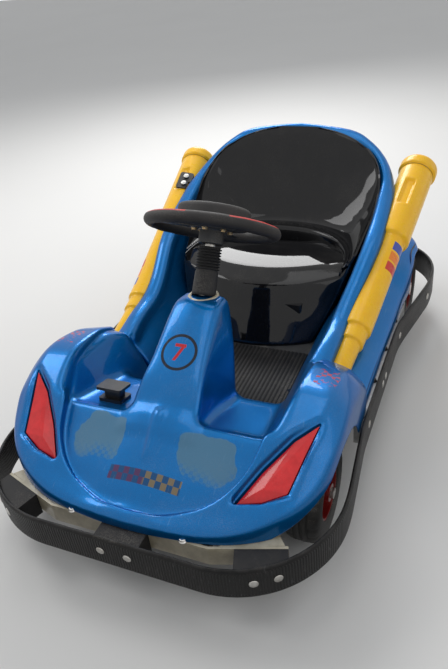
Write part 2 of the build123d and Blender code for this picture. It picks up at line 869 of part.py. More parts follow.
# The hoop over the seat back seen from the front
hoop_arch = [
    (420, deep),
    (420, 450),
    (318, 450),
    (290, 486),
    (250, 533),
    (197, 571),
    (138, 592),
    (70, 602),
    (0, hoop_top),
]
tail_corner = 150.0
hoop_corner = 200.0
hoop_low = 276.0
bay_half_width = 135.0
bay_front = 330.0
bay_top = 268.0
rear_arch_radius = 130.0
rear_arch_inner = 292.0


def tail_plan_block(half, corner, inset, low, high):
    """A plan from the seam to the tail with rounded rear corners, made into a block."""
    length = tail_y - seam_y - 2 * inset
    with BuildPart() as block:
        with BuildSketch(Plane.XY.offset(low)) as plan:
            with Locations((0, seam_y + inset + length / 2)):
                Rectangle(2 * (half - inset), length)
            fillet(plan.vertices().group_by(Axis.Y)[-1], corner - inset)
        extrude(amount=high - low)
    return block.part


def rear_block(inset):
    """The rear body's bulk, without the cockpit, drawn in by inset."""
    with BuildPart() as block:
        for y, skirt_x, skirt_z, ledge_x, ledge_z, rim_x in rear_rows:
            outline = [
                (0, deep),
                (skirt_x - inset, deep),
                (skirt_x - inset, skirt_z - 0.6 * inset),
                (ledge_x - inset, ledge_z - inset),
                (rim_x - inset, 330),
                (rim_x - inset, 700),
                (0, 700),
            ]
            add(half_section(y, outline))
        loft(ruled=True)
        profile = [(y, z - inset) for y, z in rim_profile]
        add(side_profile([(seam_y, deep), *profile, (tail_y, deep)], 420), mode=Mode.INTERSECT)
        with BuildSketch(cross_section_plane(tail_y)):
            with BuildLine():
                arch = [(x, z - inset) for x, z in hoop_arch]
                Polyline((-1, deep), *arch, (-1, hoop_top - inset), close=True)
            make_face()
        extrude(amount=tail_y - seam_y, mode=Mode.INTERSECT)
        add(tail_plan_block(400, tail_corner, inset, deep, 700), mode=Mode.INTERSECT)
        add(
            tail_plan_block(500, 1, -20, hoop_low - inset, 700)
            - tail_plan_block(331, hoop_corner, inset, hoop_low - inset, 700),
            mode=Mode.SUBTRACT,
        )
    return block.part


# Cockpit: height, half width, rear end, radius of its rear corners
cockpit_rows = [
    (deep, 195, 478, 90),
    (161, 195, 478, 90),
    (262, 248, 500, 150),
    (352, 279, 528, 170),
    (434, 284, 560, 160),
    (520, 284, 584, 160),
    (700, 284, 600, 160),
]
cockpit_front = seam_y - 30


def cockpit_block(grow):
    """The room inside the rear body, its walls moved out by grow."""
    with BuildPart() as block:
        for z, half, rear, radius in cockpit_rows:
            with BuildSketch(Plane.XY.offset(z)) as plan:
                with Locations((0, (cockpit_front + rear + grow) / 2)):
                    Rectangle(2 * (half + grow), rear + grow - cockpit_front)
                fillet(plan.vertices().group_by(Axis.Y)[-1], radius)
        loft(ruled=True)
    return block.part


with BuildPart() as rear_void:
    add(rear_block(wall))
    add(cockpit_block(wall), mode=Mode.SUBTRACT)

with BuildPart() as body_rear:
    add(rear_block(0))
    add(cockpit_block(0), mode=Mode.SUBTRACT)
    add(rear_void.part, mode=Mode.SUBTRACT)
    with BuildSketch(Plane.XY.offset(deep)):
        with Locations((0, seam_y - 5)):
            Rectangle(500, 900, align=(Align.MIN, Align.MIN))
    extrude(amount=floor_low - deep, mode=Mode.SUBTRACT)
    with BuildSketch(Plane.XY.offset(deep)):
        with Locations((arch_inner_x, seam_y - 5)):
            Rectangle(500, 900, align=(Align.MIN, Align.MIN))
        with Locations((0, pan_rear + 20)):
            Rectangle(500, 500, align=(Align.MIN, Align.MIN))
    extrude(amount=body_low - deep, mode=Mode.SUBTRACT)
    with BuildSketch(Plane.XY.offset(deep)):
        with Locations((0, bay_front)):
            Rectangle(bay_half_width, 270, align=(Align.MIN, Align.MIN))
    extrude(amount=bay_top - deep, mode=Mode.SUBTRACT)
    with BuildSketch(side_plane(rear_arch_inner)):
        with Locations((rear_axle_y, wheel_radius)):
            Circle(rear_arch_radius)
    extrude(amount=200, mode=Mode.SUBTRACT)
    mirror(about=Plane.YZ)
save(body_rear.part, "body_rear")

# Seat back: height, then x and y of its side edges and y of its middle
seat_rows = [
    (268, 246, 235, 425),
    (330, 256, 300, 472),
    (400, 262, 376, 516),
    (450, 260, 446, 545),
    (500, 226, 526, 566),
    (560, 152, 572, 584),
    (597, 60, 590, 592),
]
seat_thickness = 8.0


def seat_behind(shift, thickness):
    """A curved slab that follows the seat back, its front face moved back by shift."""
    with BuildPart() as block:
        for z, edge_x, edge_y, mid_y in seat_rows:
            with BuildSketch(Plane.XY.offset(z)):
                with BuildLine():
                    near, far = shift, shift + thickness
                    ThreePointArc((-edge_x, edge_y + near), (0, mid_y + near), (edge_x, edge_y + near))
                    Line((edge_x, edge_y + near), (edge_x, edge_y + far))
                    ThreePointArc((edge_x, edge_y + far), (0, mid_y + far), (-edge_x, edge_y + far))
                    Line((-edge_x, edge_y + far), (-edge_x, edge_y + near))
                make_face()
        loft(ruled=True)
    return block.part


with BuildPart() as seat_back:
    add(seat_behind(0, seat_thickness))
    add(cockpit_block(-seat_gap), mode=Mode.INTERSECT)
save(seat_back.part, "seat_back")

# Seat base: upright front face, domed top, hollow under it
seat_wall = 6.0
seat_side = [(189, 100), (189, 161), (240, 262), (262, 322), (262, 420)]


def seat_block(inset):
    """The seat base's bulk drawn in by inset, open below."""
    with BuildPart() as block:
        with BuildSketch(cross_section_plane(22 + inset)):
            with BuildLine():
                right = [(x - inset, z) for x, z in seat_side]
                Polyline(*right, *[(-x, z) for x, z in reversed(right)], close=True)
            make_face()
        extrude(amount=-420)
        top = [(96, 312), (160, 331), (250, 336), (340, 324), (418, 290)]
        profile = [
            (22 + inset, deep),
            (22 + inset, floor_low),
            *[(y + (inset if y < 100 else 0), z - inset) for y, z in top],
            (418, deep),
        ]
        add(side_profile(profile, 300), mode=Mode.INTERSECT)
    return block.part


with BuildPart() as seat_base:
    add(seat_block(0))
    add(seat_block(seat_wall), mode=Mode.SUBTRACT)
    add(seat_behind(-seat_gap, 300), mode=Mode.SUBTRACT)
    add(cockpit_block(-seat_gap), mode=Mode.INTERSECT)
    with BuildSketch(Plane.XY.offset(deep - 10)):
        with Locations((0, 250)):
            Rectangle(700, 700)
    extrude(amount=floor_low - deep + 10, mode=Mode.SUBTRACT)
save(seat_base.part, "seat_base")

# Side tubes: start and end along the tube, radius
tube_start = Vector(302, -158, 214)
tube_knee = Vector(317, 43, 252)
tube_end = Vector(371, 652, 470)
lower_axis = (tube_knee - tube_start).normalized()
upper_axis = (tube_end - tube_knee).normalized()
upper_length = (tube_end - tube_knee).length
tube_rows = [
    (tube_start, lower_axis, 0.0, (tube_knee - tube_start).length, 28.5),
    (tube_knee, upper_axis, -20.0, 30.0, 34.0),
    (tube_knee, upper_axis, 20.0, 330.0, 40.0),
    (tube_knee, upper_axis, 326.0, upper_length - 40, 50.0),
    (tube_knee, upper_axis, upper_length - 44, upper_length, 56.0),
]
body_side = rear_block(-body_gap)
for side, sign in (("left", 1), ("right", -1)):
    with BuildPart() as side_tube:
        for origin, axis, start, end, radius in tube_rows:
            with BuildSketch(Plane(origin=origin + axis * start, z_dir=axis)):
                Circle(radius)
            extrude(amount=end - start)
        add(body_side, mode=Mode.SUBTRACT)
        if sign < 0:
            mirror(about=Plane.YZ, mode=Mode.REPLACE)
    save(side_tube.part, f"side_tube_{side}")

# Switch panel with two round buttons on the right tube's upper side
panel_along = 455.0
panel_centre = tube_knee + upper_axis * panel_along
panel_out = Vector(-0.2, -0.3, 0.9)
panel_out = (panel_out - upper_axis * panel_out.dot(upper_axis)).normalized()
panel_plane = Plane(origin=panel_centre + panel_out * 36, x_dir=upper_axis, z_dir=panel_out)
panel_size = (72, 44)
panel_depth = 18.0
button_pitch = 32.0
button_radius = 8.0
with BuildPart() as switch_panel:
    with BuildSketch(panel_plane):
        RectangleRounded(*panel_size, 8)
    extrude(amount=panel_depth)
    with BuildSketch(panel_plane.offset(panel_depth)):
        with GridLocations(button_pitch, 1, 2, 1):
            Circle(button_radius)
    extrude(amount=4)
    with BuildSketch(Plane(origin=panel_centre - upper_axis * 80, z_dir=upper_axis)):
        Circle(50 + seat_gap)
    extrude(amount=160, mode=Mode.SUBTRACT)
    add(body_side, mode=Mode.SUBTRACT)
    mirror(about=Plane.YZ, mode=Mode.REPLACE)
save(switch_panel.part, "switch_panel")

# Pedal on the right foot shelf: base plate, core and tilted top plate
shelf_slope = math.atan2(shelf_front_z - shelf_rear_z, shelf_rear_y - 7 - shelf_ramp_y)
pedal_x = -160.0
pedal_y = -388.0
pedal_z = shelf_front_z - (pedal_y - shelf_ramp_y) * math.tan(shelf_slope)
pedal_plane = Plane(
    origin=(pedal_x, pedal_y, pedal_z),
    x_dir=(1, 0, 0),
    z_dir=(0, math.sin(shelf_slope), math.cos(shelf_slope)),
)
# Height over the shelf, thickness, plan size, shift to the front
pedal_rows = [
    (0.0, 8.0, (62, 50), 0),
    (8.0, 24.0, (44, 26), 0),
    (30.0, 7.0, (66, 52), -4),
]
with BuildPart() as pedal:
    for height, thickness, size, shift in pedal_rows:
        with BuildSketch(pedal_plane.offset(seat_gap + height)):
            with Locations((0, shift)):
                RectangleRounded(*size, 6 if size[1] > 30 else 5)
        extrude(amount=thickness)
save(pedal.part, "pedal")
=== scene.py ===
# %% [markdown]
# # An electric bumper kart
#
# This lesson builds the looks of a small electric kart as found on plazas: a blue moulded body, a
# black seat, yellow side tubes and a standing rubber belt all round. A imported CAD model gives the
# frame, so every piece made here is put where that model says, in the same coordinates.
#
# The kart's nose points to -Y, its left side is +X and the ground is at z = 0. The numbers
# below are millimetres, as on a workshop drawing, and are turned into metres when a mesh is made.

import json
import math

import bmesh
import bpy
import numpy as np
from mathutils import Matrix

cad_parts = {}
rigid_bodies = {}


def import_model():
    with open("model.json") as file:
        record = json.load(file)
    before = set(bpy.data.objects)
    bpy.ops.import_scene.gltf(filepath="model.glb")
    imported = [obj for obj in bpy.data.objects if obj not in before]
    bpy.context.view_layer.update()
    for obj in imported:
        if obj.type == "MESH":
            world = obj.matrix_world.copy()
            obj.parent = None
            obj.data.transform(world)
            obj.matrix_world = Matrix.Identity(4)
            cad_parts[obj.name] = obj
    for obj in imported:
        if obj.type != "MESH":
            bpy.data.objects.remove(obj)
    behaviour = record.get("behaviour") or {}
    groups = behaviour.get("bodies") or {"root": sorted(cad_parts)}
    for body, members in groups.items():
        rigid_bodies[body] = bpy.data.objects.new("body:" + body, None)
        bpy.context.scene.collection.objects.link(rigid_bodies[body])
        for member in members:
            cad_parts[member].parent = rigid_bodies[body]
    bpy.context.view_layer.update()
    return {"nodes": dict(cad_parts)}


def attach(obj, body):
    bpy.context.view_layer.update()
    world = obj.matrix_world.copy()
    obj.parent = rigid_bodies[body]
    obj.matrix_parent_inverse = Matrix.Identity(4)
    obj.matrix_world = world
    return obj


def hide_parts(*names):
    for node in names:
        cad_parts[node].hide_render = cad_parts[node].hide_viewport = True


for thing in list(bpy.data.objects):
    bpy.data.objects.remove(thing)
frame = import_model()
nodes = frame["nodes"]
MM = 0.001

# %% [markdown]
# ## Small tools for curves
#
# Most shapes below start as short tables of measured numbers. Two kinds of smooth curve join such
# numbers: one that never overshoots, for widths and heights, and one that runs through points in
# space like a bent wire.

# %% Curves through tables and points


def unit(vectors):
    """Vectors divided by their own lengths."""
    vectors = np.asarray(vectors, float)
    return vectors / np.maximum(np.linalg.norm(vectors, axis=-1, keepdims=True), 1e-12)


def walked_length(points):
    """How far along a line each of its points lies: the sum of the steps before it."""
    return np.concatenate([[0], np.cumsum(np.linalg.norm(np.diff(points, axis=0), axis=1))])


def evenly(points, count):
    """The line through the points, as count points at equal steps along it."""
    walked = walked_length(points)
    even = np.linspace(0, walked[-1], count)
    return np.stack([np.interp(even, walked, points[:, i]) for i in range(points.shape[1])], axis=1)


def cubic(places, at, value, tangent):
    """The cubic between neighbouring rows that has their values and their slopes.

    With t from 0 to 1 over a gap of h the weights are 2t^3 - 3t^2 + 1 and 3t^2 - 2t^3 for the two
    values, and (t^3 - 2t^2 + t) h and (t^3 - t^2) h for the two slopes."""
    k = np.clip(np.searchsorted(at, places, side="right") - 1, 0, len(at) - 2)
    h = (at[k + 1] - at[k])[:, None]
    t = (places - at[k])[:, None] / h
    return (
        (2 * t**3 - 3 * t**2 + 1) * value[k]
        + (t**3 - 2 * t**2 + t) * h * tangent[k]
        + (3 * t**2 - 2 * t**3) * value[k + 1]
        + (t**3 - t**2) * h * tangent[k + 1]
    )


def rows_at(rows, places):
    """Smooth values between the rows of a table, whose first column is the place.

    Between two rows the value is a cubic. Its slope at a row is the harmonic mean of the slopes on
    both sides, 2ab / (a + b), or zero where they differ in sign, so that it never overshoots."""
    rows = np.asarray(rows, float)
    at, value = rows[:, 0], rows[:, 1:]
    slope = np.diff(value, axis=0) / np.diff(at)[:, None]
    tangent = np.zeros_like(value)
    tangent[0], tangent[-1] = slope[0], slope[-1]
    a, b = slope[:-1], slope[1:]
    same = a * b > 0
    tangent[1:-1] = np.where(same, 2 * a * b / np.where(same, a + b, 1), 0)
    return cubic(np.clip(np.asarray(places, float), at[0], at[-1]), at, value, tangent)


def wire(points, count, steps=12):
    """A smooth curve through points, as count points at equal steps along it.

    The tangent at a point follows its neighbours; between points the curve is the cubic with those
    tangents, worked out in small steps and then walked at even length."""
    points = np.asarray(points, float)
    at = walked_length(points)
    tangent = np.gradient(points, at, axis=0)
    fine = np.linspace(0, at[-1], steps * len(points) + 1)
    return evenly(cubic(fine, at, points, tangent), count)


sample = rows_at([(0, 0), (1, 10), (3, 10)], [0, 0.5, 1, 2, 3])
print("a table's smooth values:", sample[:, 0].round(2).tolist())

# %% [markdown]
# Outlines are often the same on both sides, or are straight runs whose corners are arcs. The next
# two functions make these from a half, and from the corners and their radii.

# %% Mirrored and rounded outlines


def mirrored_line(half):
    """An outline from one half of it: the half, then its mirror image walked back."""
    half = np.asarray(half, float)
    back = half[::-1].copy()
    back[:, 0] *= -1
    return np.concatenate([half, back])


def rounded_line(corners, spacing):
    """A line of straight runs whose corners (x, y, radius) are arcs, as points about spacing apart.

    The arc touches both runs at radius * tan(turn / 2) from the corner."""
    corners = np.asarray(corners, float)
    out = [corners[0, :2]]
    for before, corner, after in zip(corners[:-2], corners[1:-1], corners[2:]):
        into, away = unit(corner[:2] - before[:2]), unit(after[:2] - corner[:2])
        turn = math.acos(float(np.clip(into @ away, -1, 1)))
        if turn < 1e-4:
            continue
        reach = corner[2] * math.tan(turn / 2)
        middle = corner[:2] + unit(away - into) * corner[2] / math.cos(turn / 2)
        start = corner[:2] - into * reach - middle
        side = math.copysign(1, into[0] * away[1] - into[1] * away[0])
        angle = side * np.linspace(0, turn, max(3, int(turn * corner[2] / spacing)))
        c, s = np.cos(angle), np.sin(angle)
        ring = np.stack([start[0] * c - start[1] * s, start[0] * s + start[1] * c], axis=1)
        out.extend(ring + middle)
    out.append(corners[-1, :2])
    out = np.array(out)
    return evenly(out, int(walked_length(out)[-1] / spacing) + 1)


corner_line = rounded_line([(0, 0, 0), (100, 0, 30), (100, 100, 0)], 5.0)
print("a rounded corner:", len(corner_line), "points")

# %% [markdown]
# ## Small tools for meshes
#
# A swept or turned piece is a grid of points: rows along it, columns around it.

# %% Faces of a grid, and Blender objects
scene = bpy.context.scene


def grid_faces(rows, columns, around=False, along=False):
    """Quads of a grid of points, closed around the columns and along the rows where asked."""
    i = np.arange(rows if along else rows - 1)[:, None]
    j = np.arange(columns if around else columns - 1)[None, :]
    a = i * columns + j
    b = i * columns + (j + 1) % columns
    c = (i + 1) % rows * columns + (j + 1) % columns
    d = (i + 1) % rows * columns + j
    return np.stack([a, b, c, d], axis=-1).reshape(-1, 4)


def joined_meshes(parts):
    """Several (points, faces) as one."""
    points, faces, start = [], [], 0
    for some_points, some_faces in parts:
        points.append(np.asarray(some_points, float).reshape(-1, 3))
        faces.extend((np.asarray(face) + start).tolist() for face in some_faces)
        start += len(points[-1])
    return np.concatenate(points), faces


def made(name, points, faces, material, body="chassis", stands_for=(), weld=0.02,
         values=None):
    """A smooth mesh object from points in millimetres, riding on a body.

    Points nearer to each other than weld are joined. values are numbers kept on the points, for the
    material to read."""
    mesh = bpy.data.meshes.new(name)
    if isinstance(faces, np.ndarray):
        faces = faces.tolist()
    faces = [list(map(int, face)) for face in faces]
    mesh.from_pydata((np.asarray(points, float).reshape(-1, 3) * MM).tolist(), [], faces)
    for key, numbers in (values or {}).items():
        kept = mesh.attributes.new(key, "FLOAT", "POINT")
        kept.data.foreach_set("value", np.ravel(numbers).astype(np.float32))
    if weld:
        built = bmesh.new()
        built.from_mesh(mesh)
        bmesh.ops.remove_doubles(built, verts=built.verts, dist=weld * MM)
        built.to_mesh(mesh)
        built.free()
    mesh.validate()
    mesh.shade_smooth()
    mesh.materials.append(material)
    piece = bpy.data.objects.new(name, mesh)
    scene.collection.objects.link(piece)
    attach(piece, body)
    stands_for = [stands_for] if isinstance(stands_for, str) else list(stands_for)
    if stands_for:
        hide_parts(*stands_for)
    return piece


def bevelled(piece, width, segments=3, angle=30):
    """Rounds the piece's sharp edges with a live bevel that keeps its flat faces flat."""
    bevel = piece.modifiers.new("rounded_edges", "BEVEL")
    bevel.width = width * MM
    bevel.segments = segments
    bevel.limit_method = "ANGLE"
    bevel.angle_limit = math.radians(angle)
    bevel.harden_normals = True


print("quads of a ring of 3 rows and 8 columns:", len(grid_faces(3, 8, around=True)))

# %% [markdown]
# Three kinds of solid are made from a line: a section carried along a path, a profile turned about
# an axis, and a plate with rounded edges laid on any plane. A fourth function sets the same small
# mesh, such as a bolt head, at several places.

# %% Sweeps, turned shapes, plates and copies


def swept(path, section, up=(0, 0, 1)):
    """A closed section carried along a closed path.

    section is (columns, 2): sideways and upwards from the path, in millimetres. Sideways is
    tangent x up, and upwards is sideways x tangent, so the section never twists."""
    path = np.asarray(path, float)
    tangent = unit(np.roll(path, -1, axis=0) - np.roll(path, 1, axis=0))
    side = unit(np.cross(tangent, np.broadcast_to(np.asarray(up, float), path.shape)))
    over = np.cross(side, tangent)
    section = np.asarray(section, float)[None]
    points = path[:, None] + section[..., :1] * side[:, None] + section[..., 1:] * over[:, None]
    rows, columns = points.shape[:2]
    return points.reshape(-1, 3), grid_faces(rows, columns, around=True, along=True)[:, ::-1]


def turned(profile, spokes, centre=(0, 0, 0), axis=(0, 0, 1), across=(1, 0, 0)):
    """A profile of (height, radius) turned about an axis.

    The point at angle a is centre + height * axis + radius * (cos a * across + sin a * third),
    where third is axis x across."""
    axis, across = unit(axis), unit(across)
    third = np.cross(axis, across)
    angle = np.arange(spokes) * 2 * math.pi / spokes
    ring = np.cos(angle)[:, None] * across + np.sin(angle)[:, None] * third
    profile = np.asarray(profile, float)
    along = np.asarray(centre, float) + profile[:, None, :1] * axis
    points = along + profile[:, None, 1:] * ring[None]
    return points.reshape(-1, 3), grid_faces(len(profile), spokes, around=True).tolist()


def slab(outline, low, high, bevel, origin, x_axis, z_axis):
    """A plate from a closed outline, with rounded top and bottom edges, laid on a plane.

    Each ring is the outline moved inwards along its own normals by bevel * (1 - cos a)."""
    outline = np.asarray(outline, float)
    after = np.roll(outline, -1, axis=0)
    tangent = unit(after - np.roll(outline, 1, axis=0))
    inward = np.stack([-tangent[:, 1], tangent[:, 0]], axis=1)
    area = np.sum(outline[:, 0] * after[:, 1] - outline[:, 1] * after[:, 0])
    inward *= math.copysign(1, area)
    angle = np.radians(np.linspace(90, 0, 4))
    rings = [(bevel * (1 - math.cos(a)), low + bevel * (1 - math.sin(a))) for a in angle]
    rings += [(bevel * (1 - math.cos(a)), high - bevel * (1 - math.sin(a))) for a in angle[::-1]]
    count = len(outline)
    flat = np.array([np.column_stack([outline + inward * shift, np.full(count, z)]) for shift, z in rings])
    x_axis, z_axis = unit(x_axis), unit(z_axis)
    y_axis = unit(np.cross(z_axis, x_axis))
    x_axis = np.cross(y_axis, z_axis)
    points = np.asarray(origin, float) + flat[..., :1] * x_axis + flat[..., 1:2] * y_axis
    points = points + flat[..., 2:] * z_axis
    faces = grid_faces(len(rings), count, around=True)
    ends = [list(range(count))[::-1], list(range((len(rings) - 1) * count, len(rings) * count))]
    if area < 0:
        faces = faces[:, ::-1]
        ends = [end[::-1] for end in ends]
    return points.reshape(-1, 3), faces.tolist() + ends


def copies(points, faces, places):
    """The same mesh at several places: each place is (origin, z axis); x is any square direction."""
    parts = []
    for origin, z_axis in places:
        z_axis = unit(z_axis)
        x_axis = unit(np.cross((0.3, 1, 0.2), z_axis))
        y_axis = np.cross(z_axis, x_axis)
        turned_points = points[:, :1] * x_axis + points[:, 1:2] * y_axis + points[:, 2:] * z_axis
        parts.append((turned_points + np.asarray(origin, float), faces))
    return joined_meshes(parts)


print("a turned disc:", len(turned([(0, 1), (1, 1)], 16)[0]), "points")

# %% [markdown]
# ## Bodies from distance fields
#
# A moulded fibreglass body has no sharp edges: a crest rolls over, a footwell meets its console in
# a fillet. Such a body is made here as clay is, by adding and cutting. A *distance field* is a grid
# of numbers in space, each saying how far that spot is from the surface, negative inside. Two
# bodies join by taking the smaller number, one is cut from another by taking the larger with its
# sign turned, and a small correction near the seam makes a fillet. Averaging the field rounds
# every edge. At the end the surface is found where the field is zero.

# %% Fields: outlines, fillets, blurring


def outline_distance(p, q, outline):
    """Signed distance from points (p, q) to a closed outline, negative inside.

    The nearest spot on a side lies at t = (w . e) / (e . e), held between 0 and 1. A point is
    inside where a line from it crosses the outline an odd number of times."""
    corner = np.asarray(outline, np.float32)
    best = np.full(np.broadcast(p, q).shape, 1e12, np.float32)
    inside = np.zeros(best.shape, bool)
    for (ax, ay), (bx, by) in zip(corner, np.roll(corner, -1, axis=0)):
        ex, ey = bx - ax, by - ay
        wx, wy = p - ax, q - ay
        t = np.clip((wx * ex + wy * ey) / max(ex * ex + ey * ey, 1e-9), 0, 1)
        best = np.minimum(best, (wx - t * ex) ** 2 + (wy - t * ey) ** 2)
        if ey:
            inside ^= ((ay > q) != (by > q)) & (wx < ex * wy / ey)
    return np.where(inside, -1, 1).astype(np.float32) * np.sqrt(best)


def plane_distance(p, q, outline):
    """Signed distance to an outline on the grid that two lists of coordinates span."""
    return outline_distance(p[:, None].astype(np.float32), q[None, :].astype(np.float32), outline)


def add_fillet(a, b, radius):
    """Two fields joined with a fillet: min(a, b) - h^2 / (4 radius), h = max(radius - |a - b|, 0)."""
    h = np.maximum(radius - np.abs(a - b), 0)
    return np.minimum(a, b) - h * h / (4 * radius)


def cut_fillet(a, b, radius):
    """Field a with b cut from it, its new edge rounded: the same sum with the signs turned."""
    return -add_fillet(-a, b, radius)


def blurred(field, radius, step):
    """The field averaged with a bell curve of that radius in millimetres, along x, y and z in turn."""
    reach = int(math.ceil(2.5 * radius / step))
    weights = np.exp(-0.5 * (np.arange(-reach, reach + 1) * step / radius) ** 2)
    weights = (weights / weights.sum()).astype(np.float32)
    for axis in range(3):
        padding = [(reach, reach) if a == axis else (0, 0) for a in range(3)]
        padded = np.pad(field, padding, mode="reflect" if axis == 0 else "edge")
        moved = np.moveaxis(padded, axis, 0)
        size = field.shape[axis]
        total = sum(w * moved[k : k + size] for k, w in enumerate(weights))
        field = np.moveaxis(total, 0, axis)
    return np.ascontiguousarray(field)


def sections_field(xs, ys, zs, rows, outline_of):
    """A field from sections: at each y the outline made from the table's smooth values."""
    out = np.empty((len(xs), len(ys), len(zs)), np.float32)
    p, q = xs[:, None].astype(np.float32), zs[None, :].astype(np.float32)
    for k, values in enumerate(rows_at(rows, ys)):
        out[:, k] = outline_distance(p, q, mirrored_line(outline_of(*values)))
    return out


print("fillet of two fields at 1 mm, radius 10:", round(float(add_fillet(1.0, 1.0, 10.0)), 3))

# %% [markdown]
# ## From field to mesh
#
# *Surface nets* turn the field into quads: every cell of the grid that the surface crosses gets one
# point, the mean of the crossings on its edges, and every crossed grid edge gets the quad of the
# four cells round it.

# %% Surface nets


def surface_net(field, low, step):
    """Points and quads of the surface where the field is zero, seen from outside anticlockwise."""
    inside = field < 0
    cells = np.array(field.shape) - 1
    keys, spots, quads = [], [], []
    for axis in range(3):
        lower, upper = [slice(None)] * 3, [slice(None)] * 3
        lower[axis], upper[axis] = slice(0, -1), slice(1, None)
        lower, upper = tuple(lower), tuple(upper)
        edge = np.argwhere(inside[lower] != inside[upper])
        a, b = field[lower][tuple(edge.T)], field[upper][tuple(edge.T)]
        spot = edge.astype(float)
        spot[:, axis] += a / (a - b)
        u, v = (axis + 1) % 3, (axis + 2) % 3
        key, fine = [], np.ones(len(edge), bool)
        for du, dv in ((1, 1), (0, 1), (0, 0), (1, 0)):
            cell = edge.copy()
            cell[:, u] -= du
            cell[:, v] -= dv
            good = np.all((cell >= 0) & (cell < cells), axis=1)
            number = np.ravel_multi_index(np.clip(cell, 0, cells - 1).T, cells)
            keys.append(number[good])
            spots.append(spot[good])
            key.append(number)
            fine &= good
        quad = np.stack(key, axis=1)
        turned_over = a > 0
        quad[turned_over] = quad[turned_over][:, ::-1]
        quads.append(quad[fine])
    keys, spots, quads = np.concatenate(keys), np.concatenate(spots), np.concatenate(quads)
    known, owner, count = np.unique(keys, return_inverse=True, return_counts=True)
    mean = np.stack([np.bincount(owner, spots[:, i]) / count for i in range(3)], axis=1)
    return low + mean * step, np.searchsorted(known, quads)


def triangles(quads):
    """Each quad as two triangles."""
    return np.concatenate([quads[:, [0, 1, 2]], quads[:, [0, 2, 3]]])


ball = np.linalg.norm(np.indices((9, 9, 9)) - 4.0, axis=0) - 3.0
print("a ball of 9 cells:", len(surface_net(ball, np.zeros(3), 1.0)[1]), "quads")

# %% [markdown]
# The net's points lie a little off the surface. Each is pulled onto it by stepping back along the
# field's slope by the field's own value, a few times.

# %% Settling the points onto the surface


def sampled(field, low, step, points):
    """The field at any points, read between the grid's numbers in proportion along x, y and z."""
    g = (points - low) / step
    i = np.clip(np.floor(g).astype(int), 0, np.array(field.shape) - 2)
    f = np.clip(g - i, 0, 1)
    out = 0
    for corner in np.ndindex(2, 2, 2):
        weight = np.prod(np.where(corner, f, 1 - f), axis=1)
        out = out + weight * field[tuple((i + corner).T)]
    return out


def slope_at(field, low, step, points, reach=1.0):
    """The field's slope at points, from the difference over reach cells each way."""
    h = reach * step
    slope = []
    for shift in np.eye(3) * h:
        rise = sampled(field, low, step, points + shift) - sampled(field, low, step, points - shift)
        slope.append(rise / (2 * h))
    return np.stack(slope, axis=1)


def settled(points, field, low, step, rounds=4, least=0.05):
    """Points pulled onto the surface: p - f * slope / |slope|^2, a few times.

    The square of the slope isn't taken below least, so that no point is thrown far away."""
    for _ in range(rounds):
        slope = slope_at(field, low, step, points)
        value = sampled(field, low, step, points)
        shift = value / np.maximum(np.sum(slope * slope, axis=1), least)
        points = points - np.clip(shift, -step, step)[:, None] * slope
    return points


net_points = surface_net(ball, np.zeros(3), 1.0)[0]
off = np.abs(sampled(ball, np.zeros(3), 1.0, settled(net_points, ball, np.zeros(3), 1.0)))
print("the ball's points lie off the surface by at most", round(float(off.max()), 4))

# %% [markdown]
# A mesh is cut along exact lines, such as the lower edge and the wheel arches, by cutting every
# triangle that the line crosses. The open rims that this leaves get further rings of points, which
# give the thin skin a lip and a return, as a real moulding has.

# %% Trimming and hems


def trimmed(points, faces, value):
    """The part of a triangle mesh where value < 0, cut along the line where value = 0.

    A crossed triangle keeps one corner and becomes one triangle, or keeps two and becomes two. A
    new point on an edge lies at a / (a - b) of the way from its corner with value a."""
    keep = value < 0
    count = keep[faces].sum(axis=1)
    whole, one, two = faces[count == 3], faces[count == 1], faces[count == 2]
    lead_one = np.argmax(keep[one], axis=1)
    lead_two = np.argmin(keep[two], axis=1)
    one = np.take_along_axis(one, (lead_one[:, None] + np.arange(3)) % 3, axis=1)
    two = np.take_along_axis(two, (lead_two[:, None] + np.arange(3)) % 3, axis=1)
    both = np.concatenate([one, two])
    pairs = np.sort(np.concatenate([both[:, [0, 1]], both[:, [0, 2]]]), axis=1)
    unique, index = np.unique(pairs, axis=0, return_inverse=True)
    a, b = value[unique[:, 0]], value[unique[:, 1]]
    t = (a / (a - b))[:, None]
    new = points[unique[:, 0]] * (1 - t) + points[unique[:, 1]] * t
    index = index.ravel() + len(points)
    ab, ac = index[: len(both)], index[len(both) :]
    n = len(one)
    faces = np.concatenate([
        whole,
        np.stack([one[:, 0], ab[:n], ac[:n]], axis=1),
        np.stack([ab[n:], two[:, 1], two[:, 2]], axis=1),
        np.stack([ab[n:], two[:, 2], ac[n:]], axis=1),
    ])
    points = np.concatenate([points, new])
    used = np.unique(faces)
    return points[used], np.searchsorted(used, faces)


def open_edges(faces):
    """Directed edges that only one triangle has: the skin's rims."""
    edges = np.concatenate([faces[:, [0, 1]], faces[:, [1, 2]], faces[:, [2, 0]]])
    size = int(faces.max()) + 1
    forward = edges[:, 0] * size + edges[:, 1]
    backward = edges[:, 1] * size + edges[:, 0]
    return edges[~np.isin(forward, backward)]


def rim_frame(points, edges, normals):
    """For the points on a rim: their numbers, and the direction that leads away from the skin."""
    along = points[edges[:, 1]] - points[edges[:, 0]]
    away = np.cross(along, normals[edges[:, 0]])
    rim, index = np.unique(edges, return_inverse=True)
    index = index.reshape(edges.shape)
    total = np.zeros((len(rim), 3))
    for k in (0, 1):
        for i in range(3):
            total[:, i] += np.bincount(index[:, k], away[:, i], len(rim))
    return rim, index, unit(total)


